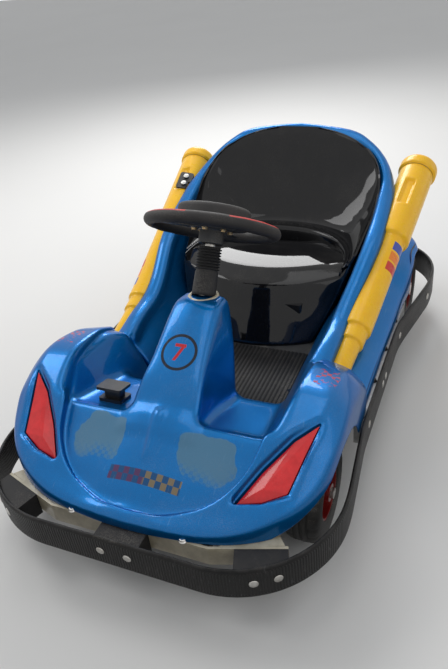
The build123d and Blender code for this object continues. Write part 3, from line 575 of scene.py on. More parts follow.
def hemmed(points, faces, edges, index, rings):
    """The skin with further rings of points joined to its rim, each as quads to the one before."""
    rim_count = len(rings[0])
    rim = np.unique(edges)
    before, extra, new = rim, [], []
    start = len(points)
    for ring in rings:
        now = np.arange(start, start + rim_count)
        a, b = before[index[:, 0]], before[index[:, 1]]
        c, d = now[index[:, 1]], now[index[:, 0]]
        new += [np.stack([b, a, d], axis=1), np.stack([b, d, c], axis=1)]
        extra.append(ring)
        before = now
        start += rim_count
    return np.concatenate([points, *extra]), np.concatenate([faces, *new])


print("rims of two joined triangles:", len(open_edges(np.array([[0, 1, 2], [0, 2, 3]]))), "edges")

# %% [markdown]
# ## Materials
#
# Every finish is a small node tree: a colour that varies a little, a roughness with smudges, and a
# bump for grain. A helper class keeps the node calls short.

# %% Node helper


class Finish:
    """A node tree with short calls. Values may be numbers, colours or other nodes' outputs."""

    def __init__(self, name, tree=None):
        """Takes the given tree, or that of a new material of this name."""
        if tree is None:
            self.material = bpy.data.materials.new(name)
            self.material.use_nodes = True
            tree = self.material.node_tree
        self.tree = tree
        self.tree.nodes.clear()

    def add(self, kind, inputs=None, out=0, **settings):
        """Adds a node, sets its fields and inputs, and gives one of its outputs."""
        node = self.tree.nodes.new("ShaderNode" + kind)
        for key, value in settings.items():
            setattr(node, key, value)
        for key, value in (inputs or {}).items():
            self.feed(node.inputs[key], value)
        return node.outputs[out] if len(node.outputs) else None

    def feed(self, socket, value):
        """Links or sets one input."""
        if isinstance(value, bpy.types.NodeSocket):
            self.tree.links.new(value, socket)
        elif isinstance(value, (tuple, list)) and len(value) == 3 and socket.type == "RGBA":
            socket.default_value = (*value, 1)
        else:
            socket.default_value = value

    def math(self, operation, *values, clamp=False):
        """One arithmetic node."""
        return self.add("Math", dict(enumerate(values)), operation=operation, use_clamp=clamp)

    def times(self, first, *others, clamp=False):
        """The product of all the values."""
        for other in others:
            first = self.math("MULTIPLY", first, other, clamp=clamp)
        return first

    def plus(self, first, *others, clamp=False):
        """The sum of all the values."""
        for other in others:
            first = self.math("ADD", first, other, clamp=clamp)
        return first

    def minus(self, first, second):
        """The first value less the second."""
        return self.math("SUBTRACT", first, second)

    def greatest(self, first, *others):
        """The greatest of all the values."""
        for other in others:
            first = self.math("MAXIMUM", first, other)
        return first

    def mix(self, factor, a, b):
        """Colour a turning into colour b."""
        return self.add("Mix", {0: factor, 6: a, 7: b}, out=2, data_type="RGBA")

    def step(self, value, low, high, out_low=0.0, out_high=1.0):
        """0 below low, 1 above high, smooth between."""
        inputs = {0: value, 1: low, 2: high, 3: out_low, 4: out_high}
        return self.add("MapRange", inputs, interpolation_type="SMOOTHSTEP")

    def noise(self, scale, detail=3.0, roughness=0.5, vector=None):
        """Cloudy noise from 0 to 1, its patches about 1 / scale metres wide."""
        inputs = {"Scale": scale, "Detail": detail, "Roughness": roughness}
        if vector is not None:
            inputs["Vector"] = vector
        return self.add("TexNoise", inputs)

    def bump(self, height, strength, depth):
        """A normal from a height of 0 to 1 that stands for the given depth in metres."""
        return self.add("Bump", {"Strength": strength, "Distance": depth, "Height": height})

    def kept(self, name):
        """A number that was kept on the mesh's points."""
        return self.add("Attribute", attribute_name=name, out=2)

    def place(self):
        """Object coordinates, in metres in the kart's own frame."""
        return self.add("TexCoord", out=3)

    def apart(self, vector):
        """The three parts of a vector."""
        return self.add("SeparateXYZ", {0: vector}).node.outputs

    def surface(self, **inputs):
        """The principled shader on the material's output."""
        names = {key.replace("_", " "): value for key, value in inputs.items()}
        shader = self.add("BsdfPrincipled", names)
        self.add("OutputMaterial", {"Surface": shader})
        return self.material


print("node helper ready")

# %% [markdown]
# What every finish shares is one node group: dust that lies on what faces up, smudges that change
# the gloss, and fine scratches. It puts out masks only, and each material decides what they do.

# %% The shared group for wear
wear = Finish("fine_wear", bpy.data.node_groups.new("fine_wear", "ShaderNodeTree"))
for key, value in (("Dust", 0.5), ("Scale", 1.0)):
    socket = wear.tree.interface.new_socket(key, in_out="INPUT", socket_type="NodeSocketFloat")
    socket.default_value = value
for key in ("Dust", "Smudge", "Scratch"):
    wear.tree.interface.new_socket(key, in_out="OUTPUT", socket_type="NodeSocketFloat")
given = wear.tree.nodes.new("NodeGroupInput")
result = wear.tree.nodes.new("NodeGroupOutput")

scaled = wear.add("VectorMath", {0: wear.place(), 3: given.outputs["Scale"]}, operation="SCALE")
cloud = wear.noise(9.0, 5.0, 0.62, scaled)
speck = wear.noise(420.0, 2.0, 0.5, scaled)
facing_up = wear.apart(wear.add("NewGeometry", out=1))[2]
lying = wear.step(facing_up, -0.1, 0.9)
dusty = wear.times(wear.step(cloud, 0.42, 0.75), wear.step(speck, 0.38, 0.68))
wear.feed(result.inputs["Dust"], wear.times(dusty, lying, given.outputs["Dust"]))
wear.feed(result.inputs["Smudge"], wear.noise(31.0, 4.0, 0.6, scaled))
streaks = wear.add("Mapping", {0: scaled, 2: (0.3, 0.9, 0.6), 3: (240.0, 9.0, 60.0)})
wear.feed(result.inputs["Scratch"], wear.step(wear.noise(1.0, 2.0, 0.5, streaks), 0.66, 0.72))
DUST = (0.42, 0.38, 0.33)


def worn(finish, dust, scale=1.0):
    """Dust, smudge and scratch masks from the shared group."""
    node = finish.tree.nodes.new("ShaderNodeGroup")
    node.node_tree = wear.tree
    node.inputs["Dust"].default_value = dust
    node.inputs["Scale"].default_value = scale
    return node.outputs["Dust"], node.outputs["Smudge"], node.outputs["Scratch"]


print("nodes of the shared group:", len(wear.tree.nodes))

# %% [markdown]
# The simple finishes come first: rubbers, plastics and painted or bare steel. Each gets its colour
# from a mix of two near tones, dust on what faces up, and grain at the size the real one has.

# %% Rubber, plastic and metal finishes


def plain_finish(name, tone, other, roughness, grain, grain_scale, dust, **more):
    """A finish of two mixed tones with dust, smudges and grain.

    The roughness runs from 0.08 below its value to 0.1 above it with the smudges, and dust adds to
    it. more are further inputs of the shader."""
    f = Finish(name)
    dusty, smudge, _ = worn(f, dust)
    colour = f.mix(f.step(smudge, 0.35, 0.7), tone, other)
    colour = f.mix(dusty, colour, DUST)
    rough_value = f.plus(f.times(smudge, 0.18), roughness - 0.08)
    rough_value = f.plus(rough_value, f.times(dusty, 0.35), clamp=True)
    normal = f.bump(f.noise(grain_scale, 3.0, 0.6, f.place()), grain, 0.0004)
    return f.surface(Base_Color=colour, Roughness=rough_value, Normal=normal, **more)


METAL = {"Metallic": 1.0}
THIN_COAT = {"Coat_Weight": 0.3, "Coat_Roughness": 0.06}
# name: two tones, roughness, grain's strength and scale, dust, further inputs
plain = {
    "black_rubber": ((0.009, 0.009, 0.010), (0.018, 0.017, 0.017), 0.56, 0.35, 1400.0, 0.3,
                     {"Specular_IOR_Level": 0.3}),
    "tyre_rubber": ((0.014, 0.014, 0.014), (0.03, 0.028, 0.026), 0.72, 0.5, 1100.0, 0.8, {}),
    "black_foam": ((0.014, 0.013, 0.013), (0.022, 0.020, 0.020), 0.62, 0.6, 2600.0, 0.2, {}),
    "black_plastic": ((0.008, 0.008, 0.009), (0.014, 0.014, 0.015), 0.36, 0.3, 1800.0, 0.2,
                      {"Specular_IOR_Level": 0.35}),
    "cream_plastic": ((0.62, 0.57, 0.46), (0.48, 0.43, 0.33), 0.42, 0.1, 700.0, 0.6, {}),
    "cream_paint": ((0.60, 0.53, 0.38), (0.44, 0.38, 0.26), 0.40, 0.25, 500.0, 0.75, THIN_COAT),
    "pale_paint": ((0.72, 0.72, 0.70), (0.56, 0.55, 0.52), 0.38, 0.2, 500.0, 0.6, THIN_COAT),
    "dark_paint": ((0.020, 0.021, 0.023), (0.034, 0.034, 0.034), 0.45, 0.3, 600.0, 0.7, {}),
    "red_paint": ((0.34, 0.015, 0.012), (0.24, 0.012, 0.010), 0.35, 0.15, 500.0, 0.6,
                  {"Coat_Weight": 0.4, "Coat_Roughness": 0.06}),
    "bare_steel": ((0.52, 0.51, 0.49), (0.36, 0.34, 0.31), 0.32, 0.2, 700.0, 0.3, METAL),
    "brassy_zinc": ((0.62, 0.43, 0.22), (0.40, 0.27, 0.13), 0.36, 0.2, 900.0, 0.3, METAL),
}
plain = {name: plain_finish(name, *row[:-1], **row[-1]) for name, row in plain.items()}
rubber, foam, steel = plain["black_rubber"], plain["black_foam"], plain["bare_steel"]
print("finishes so far:", len(bpy.data.materials))

# %% [markdown]
# ## The blue gelcoat
#
# The body is sprayed with a metallic blue under a clear coat. The decals of the front body are
# worked out from the place on the body alone: every decal is a mask, 1 where it lies, with a colour.
# On the nose panel lie two faded pale patches, whose front edge breaks up into small checks, and a
# chequered band in two tones.

# %% Decals of the nose panel


def near(f, value, centre, half, soft):
    """1 where value is within half of centre, falling to 0 over soft."""
    away = f.math("ABSOLUTE", f.minus(value, centre))
    return f.step(away, half - soft / 2, half + soft / 2, 1.0, 0.0)


def checks(f, u, v, size):
    """A chequered pattern: 1 on every other square of the given size."""
    flat = f.add("CombineXYZ", {0: u, 1: v, 2: 0.5 * size})
    return f.add("TexChecker", {"Vector": flat, "Scale": 1.0 / size}, out=1)


def pale_patches(f, place, x, y, z):
    """Two patches (across / 66 mm)^4 + (down / 46 mm)^3 < 1, their edges frayed by noise."""
    edge = f.noise(20.0, 2.0, 0.5, place)
    fray = f.times(f.minus(edge, 0.5), 0.05)
    across = f.plus(f.minus(f.math("ABSOLUTE", x), 0.128), fray)
    down = f.plus(f.plus(y, 0.508), f.times(fray, 0.7))
    wide = f.math("POWER", f.math("DIVIDE", across, 0.066), 4.0)
    high = f.math("POWER", f.math("DIVIDE", f.math("ABSOLUTE", down), 0.046), 3.0)
    patch = f.times(f.step(f.plus(wide, high), 0.8, 1.0, 1.0, 0.0), f.step(z, 0.2, 0.215))
    squares = checks(f, x, f.times(y, 1.16), 0.0085)
    whole = f.step(f.plus(down, f.times(edge, 0.03)), -0.036, 0.006)
    shown = f.greatest(whole, f.times(squares, f.step(down, -0.062, -0.02)))
    return f.times(patch, shown)


def nose_band(f, x, y, z):
    """The band across the nose and its colour: red squares on the kart's right, ochre on its left."""
    band = f.times(near(f, f.plus(y, 0.572), 0.0, 0.013, 0.001), near(f, x, 0.01, 0.085, 0.002))
    band = f.times(band, f.step(z, 0.2, 0.21))
    squares = checks(f, f.plus(x, 0.001), f.plus(y, 0.585), 0.0132)
    two_tone = f.mix(f.step(x, 0.006, 0.014), (0.13, 0.008, 0.03), (0.30, 0.19, 0.015))
    return band, f.mix(squares, two_tone, (0.01, 0.06, 0.16))


print("decals of the nose panel: patches and band")

# %% [markdown]
# The fenders carry a few worn red checks. On the console is a round badge: a dark ring and a plain
# number, drawn from distances in the console's own slope.

# %% Decals of the fenders and the console


def fender_checks(f, place, x, y, z):
    """Red squares on the fenders' tops, partly worn off."""
    side = f.math("ABSOLUTE", x)
    red = f.times(near(f, side, 0.329, 0.025, 0.001), near(f, y, -0.283, 0.034, 0.001))
    red = f.times(red, f.step(z, 0.25, 0.26))
    left_over = f.step(f.noise(55.0, 3.0, 0.6, place), 0.46, 0.56)
    return f.times(red, checks(f, x, y, 0.0098), left_over)


def badge(f, x, y, z):
    """The ring and the number: a top bar and a slanting leg, both as masks."""
    up = f.plus(f.times(f.plus(y, 0.332), 0.8), f.times(f.minus(z, 0.380), 0.6))
    radius = f.math("SQRT", f.plus(f.times(x, x), f.times(up, up)))
    on_front = f.times(f.step(z, 0.31, 0.32), f.step(radius, 0.07, 0.072, 1.0, 0.0))
    ring = f.times(near(f, radius, 0.0405, 0.0034, 0.0008), on_front)
    top_bar = f.times(near(f, up, 0.0165, 0.0038, 0.0008), near(f, x, 0.0, 0.0135, 0.0008))
    slant = f.plus(f.minus(x, f.times(up, 0.42)), -0.0015)
    leg = f.times(near(f, slant, 0.0, 0.0040, 0.0008), near(f, up, -0.001, 0.0195, 0.0008))
    return ring, f.times(f.greatest(top_bar, leg), on_front)


print("decals of the fenders and the console: checks, ring and number")

# %% [markdown]
# More than half of the blue is metal flakes whose edge tint is a deeper blue, so the paint darkens
# where it turns away. Where a decal lies there are no flakes. The inside of the moulding is bare
# grey fibreglass.

# %% Blue paint
FLAKE_SHARE = 0.62


def with_decals(f, place, colour):
    """The colour with all decals on it, and the mask of where any decal lies."""
    x, y, z = f.apart(place)
    pale = pale_patches(f, place, x, y, z)
    band, band_colour = nose_band(f, x, y, z)
    red = fender_checks(f, place, x, y, z)
    ring, number = badge(f, x, y, z)
    colour = f.mix(f.times(pale, 0.62), colour, (0.13, 0.27, 0.33))
    colour = f.mix(f.times(band, 0.75), colour, band_colour)
    colour = f.mix(f.times(red, 0.85), colour, (0.52, 0.012, 0.02))
    colour = f.mix(ring, colour, (0.008, 0.009, 0.012))
    colour = f.mix(number, colour, (0.62, 0.02, 0.02))
    return colour, f.greatest(ring, number, f.greatest(pale, band), red)


def blue_paint(name, decals):
    """The metallic blue, with or without the decals of the front body."""
    f = Finish(name)
    dusty, smudge, scratch = worn(f, 0.10)
    place = f.place()
    flakes = f.noise(2300.0, 1.0, 0.5, place)
    colour = f.mix(f.step(flakes, 0.3, 0.7), (0.0, 0.079, 0.265), (0.0, 0.168, 0.46))
    metallic = FLAKE_SHARE
    if decals:
        colour, marks = with_decals(f, place, colour)
        metallic = f.times(f.minus(1.0, marks), FLAKE_SHARE)
    colour = f.mix(f.times(dusty, 0.8), colour, DUST)
    colour = f.mix(f.times(scratch, 0.10), colour, (0.25, 0.42, 0.60))
    coat_rough = f.plus(f.times(f.step(smudge, 0.45, 0.75), 0.07), 0.025)
    coat_rough = f.plus(coat_rough, f.times(dusty, 0.3))
    outside = f.add("BsdfPrincipled", {
        "Base Color": colour,
        "Metallic": metallic,
        "Roughness": f.plus(f.times(smudge, 0.10), 0.27),
        "Normal": f.bump(flakes, 0.10, 0.0003),
        "Coat Weight": 0.55,
        "Coat Roughness": coat_rough,
        "Coat Normal": f.bump(f.noise(130.0, 2.0, 0.5, place), 0.05, 0.0005),
        "Coat IOR": 1.40,
        "Specular IOR Level": 0.2,
        "Specular Tint": (0.25, 0.45, 0.90),
    })
    fibres = f.noise(160.0, 4.0, 0.7, place)
    inside = f.add("BsdfPrincipled", {
        "Base Color": f.mix(fibres, (0.05, 0.06, 0.08), (0.12, 0.13, 0.14)),
        "Roughness": 0.7,
        "Normal": f.bump(fibres, 0.6, 0.001),
    })
    behind = f.add("NewGeometry", out=6)
    f.add("OutputMaterial", {"Surface": f.add("MixShader", {0: behind, 1: outside, 2: inside})})
    return f.material


blue_front = blue_paint("blue_shell_front", decals=True)
blue_rear = blue_paint("blue_shell_rear", decals=False)
print("blue paint nodes:", len(blue_front.node_tree.nodes))

# %% [markdown]
# ## The front body
#
# The nose is one moulding: two bulging fenders, a panel that slopes up between them, two footwells
# cut into it and a wedge-shaped console for the steering column between these. The tables hold its
# sections across the kart, its plan, the crest that the panel is cut along, and the side views of
# the footwells and the console.

# %% Front body: tables
STEP = 3.5
SEAM = -165.0
SEAM_GAP = 0.9
LOW_EDGE = 168.3
FLOOR_EDGE = 159.3

# y, then x and z of the side, the shoulder, the crest, the edge inside it, the panel's crown, and
# the middle line's height
front_rows = [
    (-700, 300, 160, 262, 168, 190, 176, 150, 178, 60, 180, 182),
    (-661, 306, 168, 262, 180, 190, 187, 150, 183, 60, 184, 186),
    (-636, 320, 180, 276, 198, 76, 196, 60, 188, 25, 190, 192),
    (-616, 330, 188, 286, 208, 119, 204, 103, 192, 50, 196, 199),
    (-600, 340, 198, 294, 217, 154, 213, 138, 196, 60, 206, 210),
    (-560, 357, 219, 308, 240, 204, 240, 187, 216, 80, 227, 234),
    (-500, 378, 248, 330, 277, 236, 279, 217, 249, 84, 259, 270),
    (-447, 390, 277, 342, 312, 251, 312, 234, 280, 83, 288, 301),
    (-340, 397, 300, 356, 342, 284, 346, 268, 325, 80, 320, 320),
    (-240, 396, 278, 356, 322, 290, 332, 278, 318, 80, 310, 310),
    (-160, 390, 227, 347, 276, 292, 292, 280, 279, 80, 281, 284),
]
# x and y from the middle outwards and back
nose_plan = [
    (0, -664), (59, -662), (120, -656), (170, -649), (214, -638), (256, -621), (303, -592),
    (345, -552), (370, -510), (384, -466), (390, -410), (391, -300), (389, -165),
]
crest_plan = [
    (0, -640), (60, -635), (115, -616), (160, -594), (198, -563), (226, -522), (243, -460),
    (252, -420), (268, -350), (280, -250), (285, -165),
]
# x and z across the footwell, then y and z along it
well_wall = [(195, 50), (195, 161), (215, 220), (238, 268), (266, 320), (277, 345), (306, 480)]
well_side = [
    (-455, 480), (-449, 286), (-440, 269), (-262, 220), (-255, 212), (-255, 50), (-60, 50),
    (-60, 480),
]
# y, then x and z of the console's ridge, the middle's height and x of the foot
console_rows = [
    (-480, 84, 268, 280, 88),
    (-447, 83, 287, 301, 88),
    (-385, 75, 338, 344, 86),
    (-340, 66, 366, 372, 90),
    (-230, 58, 430, 440, 100),
    (-212, 57, 436, 446, 103),
    (-190, 56, 434, 442, 105),
    (-130, 53, 424, 430, 112),
]
console_side = [(-480, 50), (-480, 480), (-118, 480), (-262, 214), (-255, 50)]
lens_corners = [
    (346, -412), (331, -470), (315, -538), (268, -560), (217, -570), (255, -508), (303, -447),
]
print("front body:", len(front_rows), "sections over", front_rows[-1][0] - front_rows[0][0], "mm")

# %% [markdown]
# The hull is made from the sections, trimmed to the nose's plan, and blurred so that every edge
# rolls over. At its rear end it is cut at the seam to the rear body.

# %% Front body: hull
HULL_ROUNDING = 9.5
SEAM_FILLET = 4.0


def front_outline(side_x, side_z, top_x, top_z, crest_x, crest_z, in_x, in_z, crown_x, crown_z, mid_z):
    """Section of the hull before the panel is cut into it. The panel's own columns aren't used."""
    roof = max(crest_z, mid_z) + 8
    return [(0, 60), (side_x, 60), (side_x, side_z), (top_x, top_z), (crest_x, crest_z),
            (0.5 * crest_x, roof), (0, roof)]


def field_grid(reach_x, low_y, high_y, low_z, high_z, step):
    """Grid lines of half a body: x from the middle outwards, y and z over the whole range."""
    xs = np.arange(0, reach_x + step, step)
    ys = np.arange(low_y, high_y + step, step)
    zs = np.arange(low_z, high_z + step, step)
    return xs, ys, zs


xs, ys, zs = field_grid(404, -684, -150, 140, 462, STEP)
Y, Z = ys[None, :, None], zs[None, None, :]
hull = sections_field(xs, ys, zs, front_rows, front_outline)
half_plan = np.concatenate([wire(nose_plan, 40), [(388, -60)]])
plan = plane_distance(xs, ys, mirrored_line(half_plan))
hull = blurred(np.maximum(hull, plan[:, :, None]), HULL_ROUNDING, STEP)
before_seam = (SEAM - SEAM_GAP - Y).astype(np.float32) * np.ones_like(hull)
hull = cut_fillet(hull, before_seam, SEAM_FILLET)
print("hull field:", hull.shape)

# %% [markdown]
# The panel is a surface z(x, y): it bulges a little from the middle to its crown and falls from
# there to the crest's foot. A low ridge runs along its middle. Everything above the panel and
# inside the crest is cut away. A height is turned into a distance by the panel's mean lean.

# %% Front body: nose panel
PANEL_LEAN = 0.86
PANEL_FILLET = 7.0

table = rows_at(front_rows, ys)
in_x, in_z, crown_x, crown_z, mid_z = (table[:, k] for k in range(6, 11))
wide = np.clip((xs[:, None] - crown_x) / np.maximum(in_x - crown_x, 1), 0, 1.15)
bulge = mid_z + (crown_z - mid_z) * (xs[:, None] / crown_x) ** 2
panel_z = np.where(xs[:, None] < crown_x, bulge, crown_z + (in_z - crown_z) * wide)
ridge_rows = [(-545, 4.0), (-530, 6.5), (-500, 8.5), (-440, 12.5), (-390, 18.0), (-360, 24.0)]
ridge_width = rows_at(ridge_rows, ys)[:, 0]
ridge_height = rows_at([(-544, 0.0), (-536, 7.0), (-500, 9.0), (-440, 10.0), (-390, 9.0)], ys)[:, 0]
panel_z = panel_z + ridge_height / (1 + (xs[:, None] / ridge_width) ** 6)
half_crest = np.concatenate([wire(crest_plan, 60), [(285, -60)]])
inside_crest = plane_distance(xs, ys, mirrored_line(half_crest))
above_panel = (panel_z[:, :, None] - Z).astype(np.float32) * PANEL_LEAN
front = cut_fillet(hull, np.maximum(inside_crest[:, :, None] + 2.5, above_panel), PANEL_FILLET)
front = blurred(front, 3.2, STEP)
print("ridge on the panel: up to", round(float(ridge_height.max()), 1), "mm high")

# %% [markdown]
# Shallow recesses are sunk for the headlamps, parallel to the plane of each lens, which rises
# backwards and a little outwards. Then the footwells are cut with a wide fillet at their edge.

# %% Front body: lens recesses and footwells
LENS_GAP = 4.0
LENS_DEPTH = 3.0
RECESS_REACH = 7.0
LENS_LEAN = 0.87


def lens_height(x, y):
    """Height of the lens plane: 315 mm at (346, -412), rising backwards and outwards."""
    return 315 + (0.079 * (np.abs(x) - 346) + 0.50 * (y + 412)) / 0.862


lens_away = plane_distance(xs, ys, lens_corners)[:, :, None] * np.ones_like(hull)
lens_z = lens_height(xs[:, None], ys[None, :])[:, :, None]
above_lens = (lens_z + LENS_DEPTH - Z).astype(np.float32) * LENS_LEAN
front = cut_fillet(front, np.maximum(lens_away - RECESS_REACH, above_lens), 11.0)
well_across = plane_distance(xs, zs, mirrored_line(wire(well_wall, 28)))[:, None, :]
well_along = plane_distance(ys, zs, well_side)[None, :, :]
well = blurred(np.maximum(well_across, well_along), 11.0, STEP)
front = cut_fillet(front, well, 13.0)
print("footwells cut")

# %% [markdown]
# The console is a wedge between the footwells, added with a wide fillet at its foot.

# %% Front body: console
FOOT_FILLET = 24.0


def console_outline(ridge_x, ridge_z, mid, foot_x):
    """Section of the console."""
    return [(0, 60), (foot_x + 12, 60), (foot_x, 240), (ridge_x, ridge_z),
            (0.6 * ridge_x, 0.35 * ridge_z + 0.65 * mid), (0, mid)]


console = sections_field(xs, ys, zs, console_rows, console_outline)
console = np.maximum(console, plane_distance(ys, zs, console_side)[None, :, :])
console = blurred(console, 7.5, STEP)
front = blurred(add_fillet(front, console, FOOT_FILLET), 2.4, STEP)
front = np.maximum(front, -(SEAM - SEAM_GAP - Y).astype(np.float32) * np.ones_like(front))
print("front field:", front.shape, "from", round(float(front.min())), "to", round(float(front.max())))

# %% [markdown]
# The field becomes a skin. It is cut along its lower edge and the wheel arches, and its open edges
# get a rounded lip and a return.

# %% Skins with lips


def skin_from(field, low, step, keeps):
    """Mesh of a half field: mirrored, netted, settled and cut by functions of its points."""
    whole = np.concatenate([field[:0:-1], field], axis=0)
    corner = np.array([-(field.shape[0] - 1) * step, low[1], low[2]], float)
    points, quads = surface_net(whole, corner, step)
    points = settled(points, whole, corner, step)
    faces = triangles(quads)
    for keep in keeps:
        points, faces = trimmed(points, faces, keep(points))
    normals = unit(slope_at(whole, corner, step, points, 0.7))
    return points, faces, normals


def lipped(points, faces, normals, chosen, radius=2.0, back=18.0):
    """Gives the chosen open edges a rounded lip and a return of the given depth inside."""
    edges = open_edges(faces)
    edges = edges[chosen[edges].all(axis=1)]
    rim, index, away = rim_frame(points, edges, normals)
    p, n = points[rim], normals[rim]
    rings = []
    for a in np.radians((45, 90, 135, 180)):
        rings.append(p + away * radius * math.sin(a) - n * radius * (1 - math.cos(a)))
    rings.append(p - n * 2 * radius - away * back)
    return hemmed(points, faces, edges, index, rings)


FLOOR_HALF = 228
ARCH_INNER = 262
LENS_LOW = 185
# y and z of the front wheel arch, seen from the side
arch_line = [
    (-625, 50), (-625, 150), (-600, 166.3), (-536, 200), (-468, 226), (-430, 246), (-400, 254),
    (-350, 251), (-310, 236), (-275, 205), (-252, 166.3), (-250, 50),
]
arch_curve = wire(arch_line[2:11], 40)[1:-1]
arch_line = np.concatenate([arch_line[:3], arch_curve, arch_line[10:]])


def keep_above_edge(p):
    """Negative above the body's lower edge, which lies lower between the footwells' walls."""
    inner = (np.abs(p[:, 0]) < FLOOR_HALF) & (p[:, 1] > -270)
    return np.where(inner, FLOOR_EDGE, LOW_EDGE) - p[:, 2]


def keep_out_of_arch(p):
    """Negative outside the wheel arch's outline, and everywhere nearer to the middle."""
    outside = -outline_distance(p[:, 1], p[:, 2], arch_line)
    return np.minimum(outside, np.abs(p[:, 0]) - ARCH_INNER)


def lens_distance(p):
    """Distance from the lens outline, seen from above."""
    return outline_distance(np.abs(p[:, 0]), p[:, 1], lens_corners)


def keep_out_of_lens(p):
    """Negative outside the lens opening, and everywhere below it."""
    return np.minimum(LENS_GAP - lens_distance(p), p[:, 2] - LENS_LOW)


low = (0.0, ys[0], zs[0])
points, faces, normals = skin_from(front, low, STEP, [keep_above_edge, keep_out_of_arch, keep_out_of_lens])
around_lens = (np.abs(lens_distance(points) - LENS_GAP) < 0.4) & (points[:, 2] > LENS_LOW + 5)
at_seam = points[:, 1] > SEAM - 3.0
body_points, body_faces = lipped(points, faces, normals, ~around_lens & ~at_seam)
print("front skin:", len(faces), "triangles, with lips", len(body_faces))

# %% [markdown]
# From the openings for the headlamps a few rings of points are drawn down: over a small radius,
# down the wall, and in below the lens.

# %% Walls round the headlamps
LENS_FLOOR = 7.0
edges = open_edges(faces)
edges = edges[around_lens[edges].all(axis=1)]
rim, index, away = rim_frame(points, edges, normals)
p, n = points[rim], normals[rim]
floor_z = lens_height(p[:, 0], p[:, 1]) - LENS_FLOOR
wall_drop = np.maximum(p[:, 2] - floor_z, 4.0)[:, None]
down = np.array([0, 0, -1.0])
rings = [
    p + away * 0.5 - n * 0.3,
    p + away * 1.2 - n * 1.2,
    p + away * 1.5 - n * 2.4,
    p + away * 1.6 + down * wall_drop,
    p + away * 14.0 + down * wall_drop,
]
body_points, body_faces = hemmed(body_points, body_faces, edges, index, rings)
made("body_front_skin", body_points, body_faces, blue_front, stands_for="body_front",
     weld=0)
shortest, longest = (round(float(drop), 1) for drop in (wall_drop.min(), wall_drop.max()))
print("wall round the lenses:", shortest, "to", longest, "mm")
print("front body triangles:", len(body_faces))

# %% [markdown]
# ## The headlamps
#
# Each lens is one piece of clear red plastic with a few flat facets that meet in a low point, set
# in its recess with a dark gap round it. The facets stay flat; a fine bevel catches light on their
# edges.

# %% Headlamp lenses
LENS_RISE = 9.0
LENS_THICKNESS = 9


def red_lens():
    """Red plastic with smudges, dust and a slightly wavy surface under a thin gloss."""
    f = Finish("red_lens")
    dusty, smudge, _ = worn(f, 0.15, 1.4)
    tone = f.mix(f.step(smudge, 0.3, 0.7), (0.70, 0.012, 0.016), (0.84, 0.022, 0.026))
    colour = f.mix(f.times(dusty, 0.4), tone, (0.62, 0.30, 0.27))
    rough_value = f.plus(f.times(smudge, 0.18), 0.14)
    normal = f.bump(f.noise(60.0, 2.0, 0.5, f.place()), 0.10, 0.0006)
    return f.surface(Base_Color=colour, Roughness=rough_value, Normal=normal, Coat_Weight=0.3,
                     Coat_Roughness=0.08, Specular_IOR_Level=0.3)


lens_finish = red_lens()
for side, sign in (("left", 1), ("right", -1)):
    rim_line = np.array(lens_corners, float)
    base = np.column_stack([rim_line, lens_height(rim_line[:, 0], rim_line[:, 1])])
    peak = np.array([266, -541, lens_height(266, -541) + LENS_RISE])
    lens_points = np.concatenate([base + (0, 0, 0.5), base - (0, 0, LENS_THICKNESS), [peak]]) * (sign, 1, 1)
    count = len(rim_line)
    lens_faces = []
    for k in range(count):
        after = (k + 1) % count
        lens_faces.append([k, after, 2 * count])
        lens_faces.append([k, k + count, after + count, after])
    lens_faces.append([k + count for k in range(count)][::-1])
    if sign > 0:
        lens_faces = [face[::-1] for face in lens_faces]
    lens = made(f"headlamp_lens_{side}", lens_points, lens_faces, lens_finish,
                stands_for=f"headlamp_{side}")
    bevelled(lens, 1.2, 3, 4)
print("lens facets:", count, "a side")

# %% [markdown]
# ## The rear body
#
# The rear body runs from the seam beside the footwells round the seat. Its rim is a thick rounded
# bead that climbs backwards and closes in a strongly leaning hoop.

# %% Rear body: tables

# y, then x and z of the skirt, x and z of the ledge, x of the upper wall
rear_rows = [
    (-180, 386, 186, 300, 208, 291),
    (-165, 386, 186, 300, 208, 291),
    (43, 385, 188, 306, 216, 295),
    (160, 387, 192, 318, 226, 313),
    (300, 390, 205, 334, 240, 328),
    (400, 396, 240, 337, 264, 328),
    (660, 398, 258, 337, 276, 328),
]
# y and the height that the body is cut off at
rim_profile = [
    (-220, 262), (-165, 265), (-76, 276), (11, 283), (80, 305), (138, 334), (195, 365), (266, 394),
    (349, 420), (433, 450), (521, 488), (575, 526), (606, 566), (660, 590),
]
# x and z of the hoop, seen from the front
hoop_arch = [
    (0, 50), (420, 50), (420, 450), (318, 450), (290, 486), (250, 533), (197, 566), (138, 584),
    (70, 593), (0, 596),
]
# z, then half the cockpit's width, its rear end's y and its corners' radius
cockpit_rows = [
    (100, 195, 478, 90), (161, 195, 478, 90), (262, 248, 500, 150), (352, 281, 532, 145),
    (434, 290, 562, 120), (520, 294, 588, 105), (700, 312, 604, 105),
]
# x, y and z of the bead, from the seam to the hoop's middle, then its radius by the way along it
bead_line = [
    (258, -144, 250), (270, -76, 260), (276, 11, 266), (281, 80, 289), (290, 138, 318),
    (300, 195, 350), (307, 266, 377), (308, 349, 403), (303, 433, 433), (290, 521, 466),
    (254, 580, 503), (201, 609, 534), (140, 622, 558), (66, 627, 573), (0, 628, 579),
]
bead_radius = [(0, 20), (300, 21), (600, 20), (760, 17), (880, 14), (1000, 12), (1400, 11)]
print("rear body:", len(rear_rows), "sections and a bead through", len(bead_line), "points")

# %% [markdown]
# Two more fields are needed: a rectangle with round corners for the plan, and a bent wire of round
# section for the bead.

# %% Fields of a rounded rectangle and of a wire


def rear_outline(skirt_x, skirt_z, ledge_x, ledge_z, wall_x):
    """Section of the rear body's block."""
    return [(0, 60), (skirt_x, 60), (skirt_x, skirt_z), (ledge_x, ledge_z), (wall_x, 330),
            (wall_x, 700), (0, 700)]


